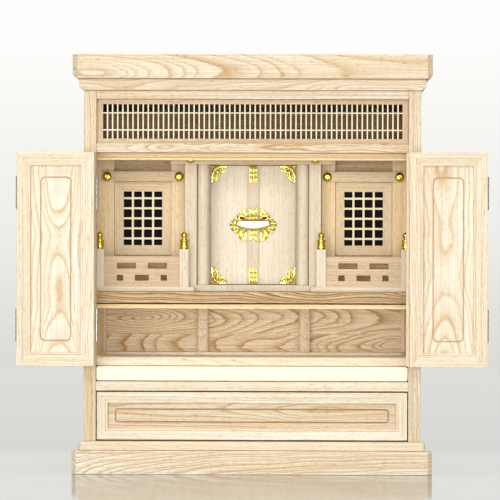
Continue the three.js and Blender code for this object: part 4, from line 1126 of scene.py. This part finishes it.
def corner_plate_shape(size_u, size_v):
    """Leafy corner plate: straight along two edges, two lobes and a notch across the corner."""
    def at(u, v):
        return (u * size_u, v * size_v)
    outline = [at(0, 0), at(1, 0), at(0.985, 0.06)]
    outline += [at(0.93, 0.16), at(0.86, 0.28), at(0.76, 0.37), at(0.64, 0.42), at(0.6, 0.48), at(0.48, 0.44),
                at(0.45, 0.5), at(0.5, 0.6), at(0.44, 0.64), at(0.38, 0.76), at(0.28, 0.86), at(0.17, 0.93),
                at(0.06, 0.985), at(0, 1)]
    strokes = [
        [at(0.04, 0.04), at(0.2, 0.2), at(0.42, 0.4)],
        scroll(at(0.55, 0.2), 0.17 * size_u, 200, 1.1), scroll(at(0.2, 0.55), 0.17 * size_u, 250, 1.1, -1),
        scroll(at(0.78, 0.12), 0.11 * size_u, 150, 0.9), scroll(at(0.12, 0.78), 0.11 * size_u, 300, 0.9, -1),
        [at(0.2, 0.2), at(0.36, 0.12), at(0.6, 0.05), at(0.9, 0.05)],
        [at(0.2, 0.2), at(0.12, 0.36), at(0.05, 0.6), at(0.05, 0.9)],
        [at(0.36, 0.34), at(0.5, 0.36), at(0.66, 0.33), at(0.8, 0.24)],
        [at(0.34, 0.36), at(0.36, 0.5), at(0.33, 0.66), at(0.24, 0.8)],
    ]
    return outline, at(0.26, 0.26), strokes


def batten_plate_shape(half_width, length, notch, notched_ends):
    """Narrow plate along the meeting batten, with a V notch in one end or both."""
    bottom, top = -length / 2, length / 2
    waist = half_width * 0.9
    outline = [(-half_width, bottom)]
    if "low" in notched_ends:
        outline.append((0, bottom + notch))
    outline += [(half_width, bottom), (waist, bottom + length * 0.2), (half_width, bottom + length * 0.5),
                (waist, top - length * 0.2), (half_width, top)]
    if "high" in notched_ends:
        outline.append((0, top - notch))
    outline += [(-half_width, top), (-waist, top - length * 0.2), (-half_width, bottom + length * 0.5),
                (-waist, bottom + length * 0.2)]
    strokes = []
    units = max(2, round(length / (9 * MM)))
    for i in range(units):
        z = bottom + notch * 0.6 + (length - notch * 1.2) * (i + 0.5) / units
        reach = half_width * 0.62
        strokes.append(scroll((reach * 0.75, z), reach * 0.8, 180, 1.1))
        strokes.append(scroll((-reach * 0.75, z), reach * 0.8, 0, 1.1, -1))
        strokes.append([(0, z - 3 * MM), (0, z + 3 * MM)])
    return outline, (0, 0), strokes


def lobed_plate_shape(width, half_height):
    """Half of a leaf-shaped plate: a lobe above, a pointed one at the side and one below, with a straight
    inner edge along u = 0."""
    rim = ((0, 1.0), (0.15, 0.97), (0.31, 0.85), (0.48, 0.69), (0.6, 0.54), (0.61, 0.45), (0.78, 0.37),
           (0.92, 0.22), (1.0, 0.05), (1.0, -0.05), (0.94, -0.24), (0.79, -0.4), (0.58, -0.5), (0.54, -0.57),
           (0.51, -0.7), (0.38, -0.85), (0.21, -0.95), (0, -0.98))
    outline = [(u * width, v * half_height) for u, v in reversed(rim)]
    strokes = []
    for sign in (1, -1):
        strokes += [
            scroll((0.26 * width, sign * 0.66 * half_height), 0.2 * width, 90 * sign, 1.2, sign),
            scroll((0.66 * width, sign * 0.2 * half_height), 0.2 * width, 20 * sign, 1.2, sign),
            [(0.05 * width, sign * 0.1 * half_height), (0.3 * width, sign * 0.36 * half_height),
             (0.5 * width, sign * 0.62 * half_height)],
            [(0.1 * width, sign * 0.05 * half_height), (0.45 * width, sign * 0.12 * half_height),
             (0.9 * width, sign * 0.1 * half_height)],
            [(0.06 * width, sign * 0.4 * half_height), (0.1 * width, sign * 0.9 * half_height)],
        ]
    return outline, (0.42 * width, 0), strokes


def dress_plates(engraved):
    thick, relief = 0.3 * MM, 0.9 * MM
    corner_u, corner_v = 24 * MM, 26.3 * MM
    margin = 1.0 * MM
    for word, side in SIDES:
        door = "shrine_door_" + word
        low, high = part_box(door)
        face = low.y
        outer_x = (low.x if side < 0 else high.x) - side * margin
        inner_x = side * 9.9 * MM
        piece = Piece(word + "_shrine_door_plates")
        for level, z, way in (("low", low.z + margin, 1), ("high", high.z - margin * 0.4, -1)):
            outline, centre, strokes = corner_plate_shape(corner_u, corner_v)
            part = embossed_plate(outline, centre, strokes, thick, relief,
                                  lambda u, v, rise: (outer_x - side * u, face - rise, z + way * v))
            piece.take(part, engraved)
        outline, centre, strokes = lobed_plate_shape(25.0 * MM, 25.4 * MM)
        part = embossed_plate(outline, centre, strokes, thick, relief,
                              lambda u, v, rise: (inner_x + side * u, face - rise, 361.0 * MM + v))
        piece.take(part, engraved)
        piece.done(BODY_OF[door], "gold")

    batten_low, batten_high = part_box("shrine_meeting_batten")
    face = batten_low.y
    x = middle("shrine_meeting_batten").x
    piece = Piece("meeting_batten_plates")
    plates = (
        (batten_high.z - 13.4 * MM, 26 * MM, "low"), (362.0 * MM, 51 * MM, "low high"),
        (batten_low.z + 14.2 * MM, 26 * MM, "high"),
    )
    for z, length, notched in plates:
        outline, centre, strokes = batten_plate_shape(6.0 * MM, length, 4.6 * MM, notched)
        part = embossed_plate(outline, centre, strokes, thick, relief,
                              lambda u, v, rise: (x + u, face - rise, z + v))
        piece.take(part, engraved)
    piece.done(BODY_OF["shrine_meeting_batten"], "gold")


def dress_lock(bright, engraved, dull):
    """Lock on the meeting batten: a boat-shaped body with blunt raised ends, a thin shackle above it that
    runs into an eye at each end, and thin dark plates of painted shade for the openings under the eyes."""
    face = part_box("shrine_meeting_batten")[0].y - 1.2 * MM
    back = face - 4.2 * MM
    half, centre_z, lift, steps = 24.8 * MM, 361.2 * MM, 3.2 * MM, 28
    points, radii = [], []
    for i in range(steps + 1):
        share = -1 + 2 * i / steps
        points.append(Vector((share * half, back, centre_z + lift * abs(share) ** 2.2)))
        tall = (4.9 + 3.1 * (1 - abs(share) ** 2)) * MM * (1 if abs(share) < 0.99 else 0.6)
        radii.append((tall, min(tall * 0.8, 3.6 * MM)))
    piece = Piece("shrine_lock")
    piece.take(sweep(points, radii, 32, 0.8), bright)
    shackle_z, shackle_half, thin = 374.2 * MM, 13.2 * MM, 0.85 * MM
    shackle = [Vector((share * shackle_half, back, shackle_z)) for share in np.linspace(-1, 1, 9)]
    piece.take(sweep(shackle, [(thin, thin)] * len(shackle), 14), dull)
    recess = painted_recess_shade()
    for side in (-1, 1):
        curl = []
        for i in range(15):
            angle = math.radians(20 + 260 * i / 14)
            curl.append(Vector((side * (17.2 * MM - 4.4 * MM * math.cos(angle)), back + 0.6 * MM,
                                371.6 * MM + 3.0 * MM * math.sin(angle))))
        piece.take(sweep(curl, [(1.1 * MM, 1.1 * MM)] * len(curl), 14), engraved)
        # Each opening under an eye is a thin dark plate: painted shade
        hole = [(side * u * MM, v * MM) for u, v in
                ((12.4, 371.6), (15.6, 374.4), (20.8, 372.4), (20.4, 369.6), (16.0, 369.8))]
        floor_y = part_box("shrine_door_left")[0].y - 1.35 * MM
        piece.take(prism(hole, floor_y - 0.4 * MM, floor_y, lambda u, v, w: (u, w, v)), recess)
    for i in (-2, -1, 0, 1, 2):
        band = lathe(((0.5 * MM, 0), (1.1 * MM, 0.3 * MM), (1.1 * MM, 0.6 * MM), (0.4 * MM, 0.9 * MM)),
                     (i * 4.6 * MM, back - 4.3 * MM, centre_z + 0.15 * MM * i * i), Y, 14)
        piece.take(band, engraved)
    piece.done(BODY_OF["shrine_door_left"], "gold")


def dress_gold():
    bright = gold("polished_gold", "e9d46e", "d3b745", "664c0c", 0.10)
    engraved = gold("engraved_gold", "fff8a4", "f6e470", "7c5e14", 0.12)
    pale = gold("pale_gold", "f6edb4", "e6d67c", "9a8240", 0.20)
    shackle = gold("shackle_gold", "b8953c", "8f6d22", "5a4210", 0.24)
    dress_finials(bright)
    dress_domes(bright)
    dress_plates(engraved)
    dress_lock(pale, engraved, shackle)


# Floor, background, lights and camera

def floor_material():
    shader = Shader("pale_floor")
    place = shader.node("ShaderNodeTexCoord").outputs["Object"]
    cloud = shader.noise(shader.vector("MULTIPLY", place, (1.3, 1.3, 1.3)), 2.0)
    near = shader.mix(cloud, linear("a5a29d"), linear("a9a6a1"))
    away = shader.node("ShaderNodeSeparateXYZ", {"Vector": place}).outputs["Y"]
    far_share = shader.ramp(away, ((0.18, 0), (0.34, 1)))
    shader.feed(shader.surface.inputs["Base Color"], shader.mix(far_share, near, linear("6c6861")))
    shader.surface.inputs["Roughness"].default_value = 0.08
    shader.surface.inputs["Specular IOR Level"].default_value = 0.7
    return shader.material


def make_floor():
    part = new_part()
    bmesh.ops.create_circle(part, cap_ends=True, radius=3.4, segments=96)
    floor = bpy.data.objects.new("floor", bpy.data.meshes.new("floor"))
    part.to_mesh(floor.data)
    part.free()
    floor.data.materials.append(floor_material())
    bpy.context.scene.collection.objects.link(floor)


def make_background():
    """White backdrop behind the cabinet, greyer towards the floor, and a dim studio in front of it with a
    brighter patch round the camera."""
    world = bpy.data.worlds.new("studio")
    world.use_nodes = True
    tree = world.node_tree
    background = tree.nodes["Background"]
    direction = tree.nodes.new("ShaderNodeTexCoord").outputs["Generated"]
    split = tree.nodes.new("ShaderNodeSeparateXYZ")
    tree.links.new(direction, split.inputs[0])

    def ramp(source, scale, offset, stops):
        place = tree.nodes.new("ShaderNodeMath")
        place.operation = "MULTIPLY_ADD"
        tree.links.new(source, place.inputs[0])
        place.inputs[1].default_value = scale
        place.inputs[2].default_value = offset
        node = tree.nodes.new("ShaderNodeValToRGB")
        tree.links.new(place.outputs[0], node.inputs["Fac"])
        elements = node.color_ramp.elements
        while len(elements) < len(stops):
            elements.new(0.5)
        for element, (position, colour) in zip(elements, stops):
            element.position = position
            element.color = colour + (1,)
        return node.outputs["Color"]

    # Heights run from 0.1 below the horizon to 0.1 above it
    backdrop = ramp(split.outputs["Z"], 5.0, 0.5, (
        (0.20, (0.68, 0.67, 0.63)), (0.38, (0.76, 0.755, 0.73)), (0.50, (0.84, 0.835, 0.81)),
        (0.74, (0.93, 0.925, 0.90)), (0.88, (0.99, 0.985, 0.97))))
    studio = ramp(split.outputs["Y"], 0.5, 0.5, (
        (0.05, (0.75, 0.75, 0.74)), (0.11, (0.17, 0.17, 0.166)), (0.30, (0.17, 0.17, 0.166))))
    behind = ramp(split.outputs["Y"], 0.5, 0.5, ((0.30, (0, 0, 0)), (0.75, (1, 1, 1))))
    mix = tree.nodes.new("ShaderNodeMix")
    mix.data_type = "RGBA"
    tree.links.new(behind, mix.inputs[0])
    tree.links.new(studio, mix.inputs[6])
    tree.links.new(backdrop, mix.inputs[7])
    tree.links.new(mix.outputs[2], background.inputs["Color"])
    background.inputs["Strength"].default_value = 1.0
    bpy.context.scene.world = world


LIGHT_COLOUR = (0.965, 1.0, 0.995)


def area_light(name, place, size, power, target=(0, 0, 0.3)):
    light = bpy.data.lights.new(name, "AREA")
    light.shape = "RECTANGLE"
    light.size, light.size_y = size
    light.energy = power
    light.color = LIGHT_COLOUR
    lamp = bpy.data.objects.new(name, light)
    lamp.location = place
    lamp.rotation_euler = (Vector(target) - Vector(place)).to_track_quat("-Z", "Y").to_euler()
    bpy.context.scene.collection.objects.link(lamp)


def make_lights():
    area_light("left_softbox", (-1.6, -3.3, 0.62), (1.1, 1.3), 8)
    area_light("right_softbox", (1.6, -3.3, 0.62), (1.1, 1.3), 4)
    area_light("front_softbox", (-0.45, -4.7, 0.42), (2.6, 1.0), 55)
    area_light("high_softbox", (-0.2, -3.0, 1.65), (2.4, 0.9), 26)
    area_light("top_softbox", (0, -0.75, 2.4), (2.2, 1.0), 20)
    area_light("table_bounce", (0, -1.05, 0.03), (2.2, 0.6), 8.5, (0, 0, 0.4))


def make_camera():
    """Level camera in front, a little to the right of the middle, turned slightly to the left."""
    camera = bpy.data.cameras.new("camera")
    focal_pixels, image_pixels = 2697, 500
    camera.sensor_width = 36
    camera.lens = focal_pixels / image_pixels * camera.sensor_width
    camera.clip_end = 60
    eye = bpy.data.objects.new("camera", camera)
    eye.location = (54.66 * MM, FRONT - 3.9, 324 * MM)
    straight_ahead = (290, 250)
    turn = math.atan((straight_ahead[0] - image_pixels / 2) / focal_pixels)
    tip = math.atan((straight_ahead[1] - image_pixels / 2) / focal_pixels)
    roll = math.radians(0.15)
    eye.rotation_mode = "XYZ"
    eye.rotation_euler = (math.pi / 2 + tip, -roll, turn)
    bpy.context.scene.collection.objects.link(eye)
    bpy.context.scene.camera = eye


make_camera()
dress_body()
dress_niche()
dress_doors()
dress_drawer()
dress_hinges()
dress_transom()
dress_middle_shrine()
for word, side in SIDES:
    dress_side_shrine(word, side)
    dress_fence(word, side)
dress_gold()
make_floor()
make_background()
make_lights()
bpy.context.scene.view_settings.view_transform = "Standard"
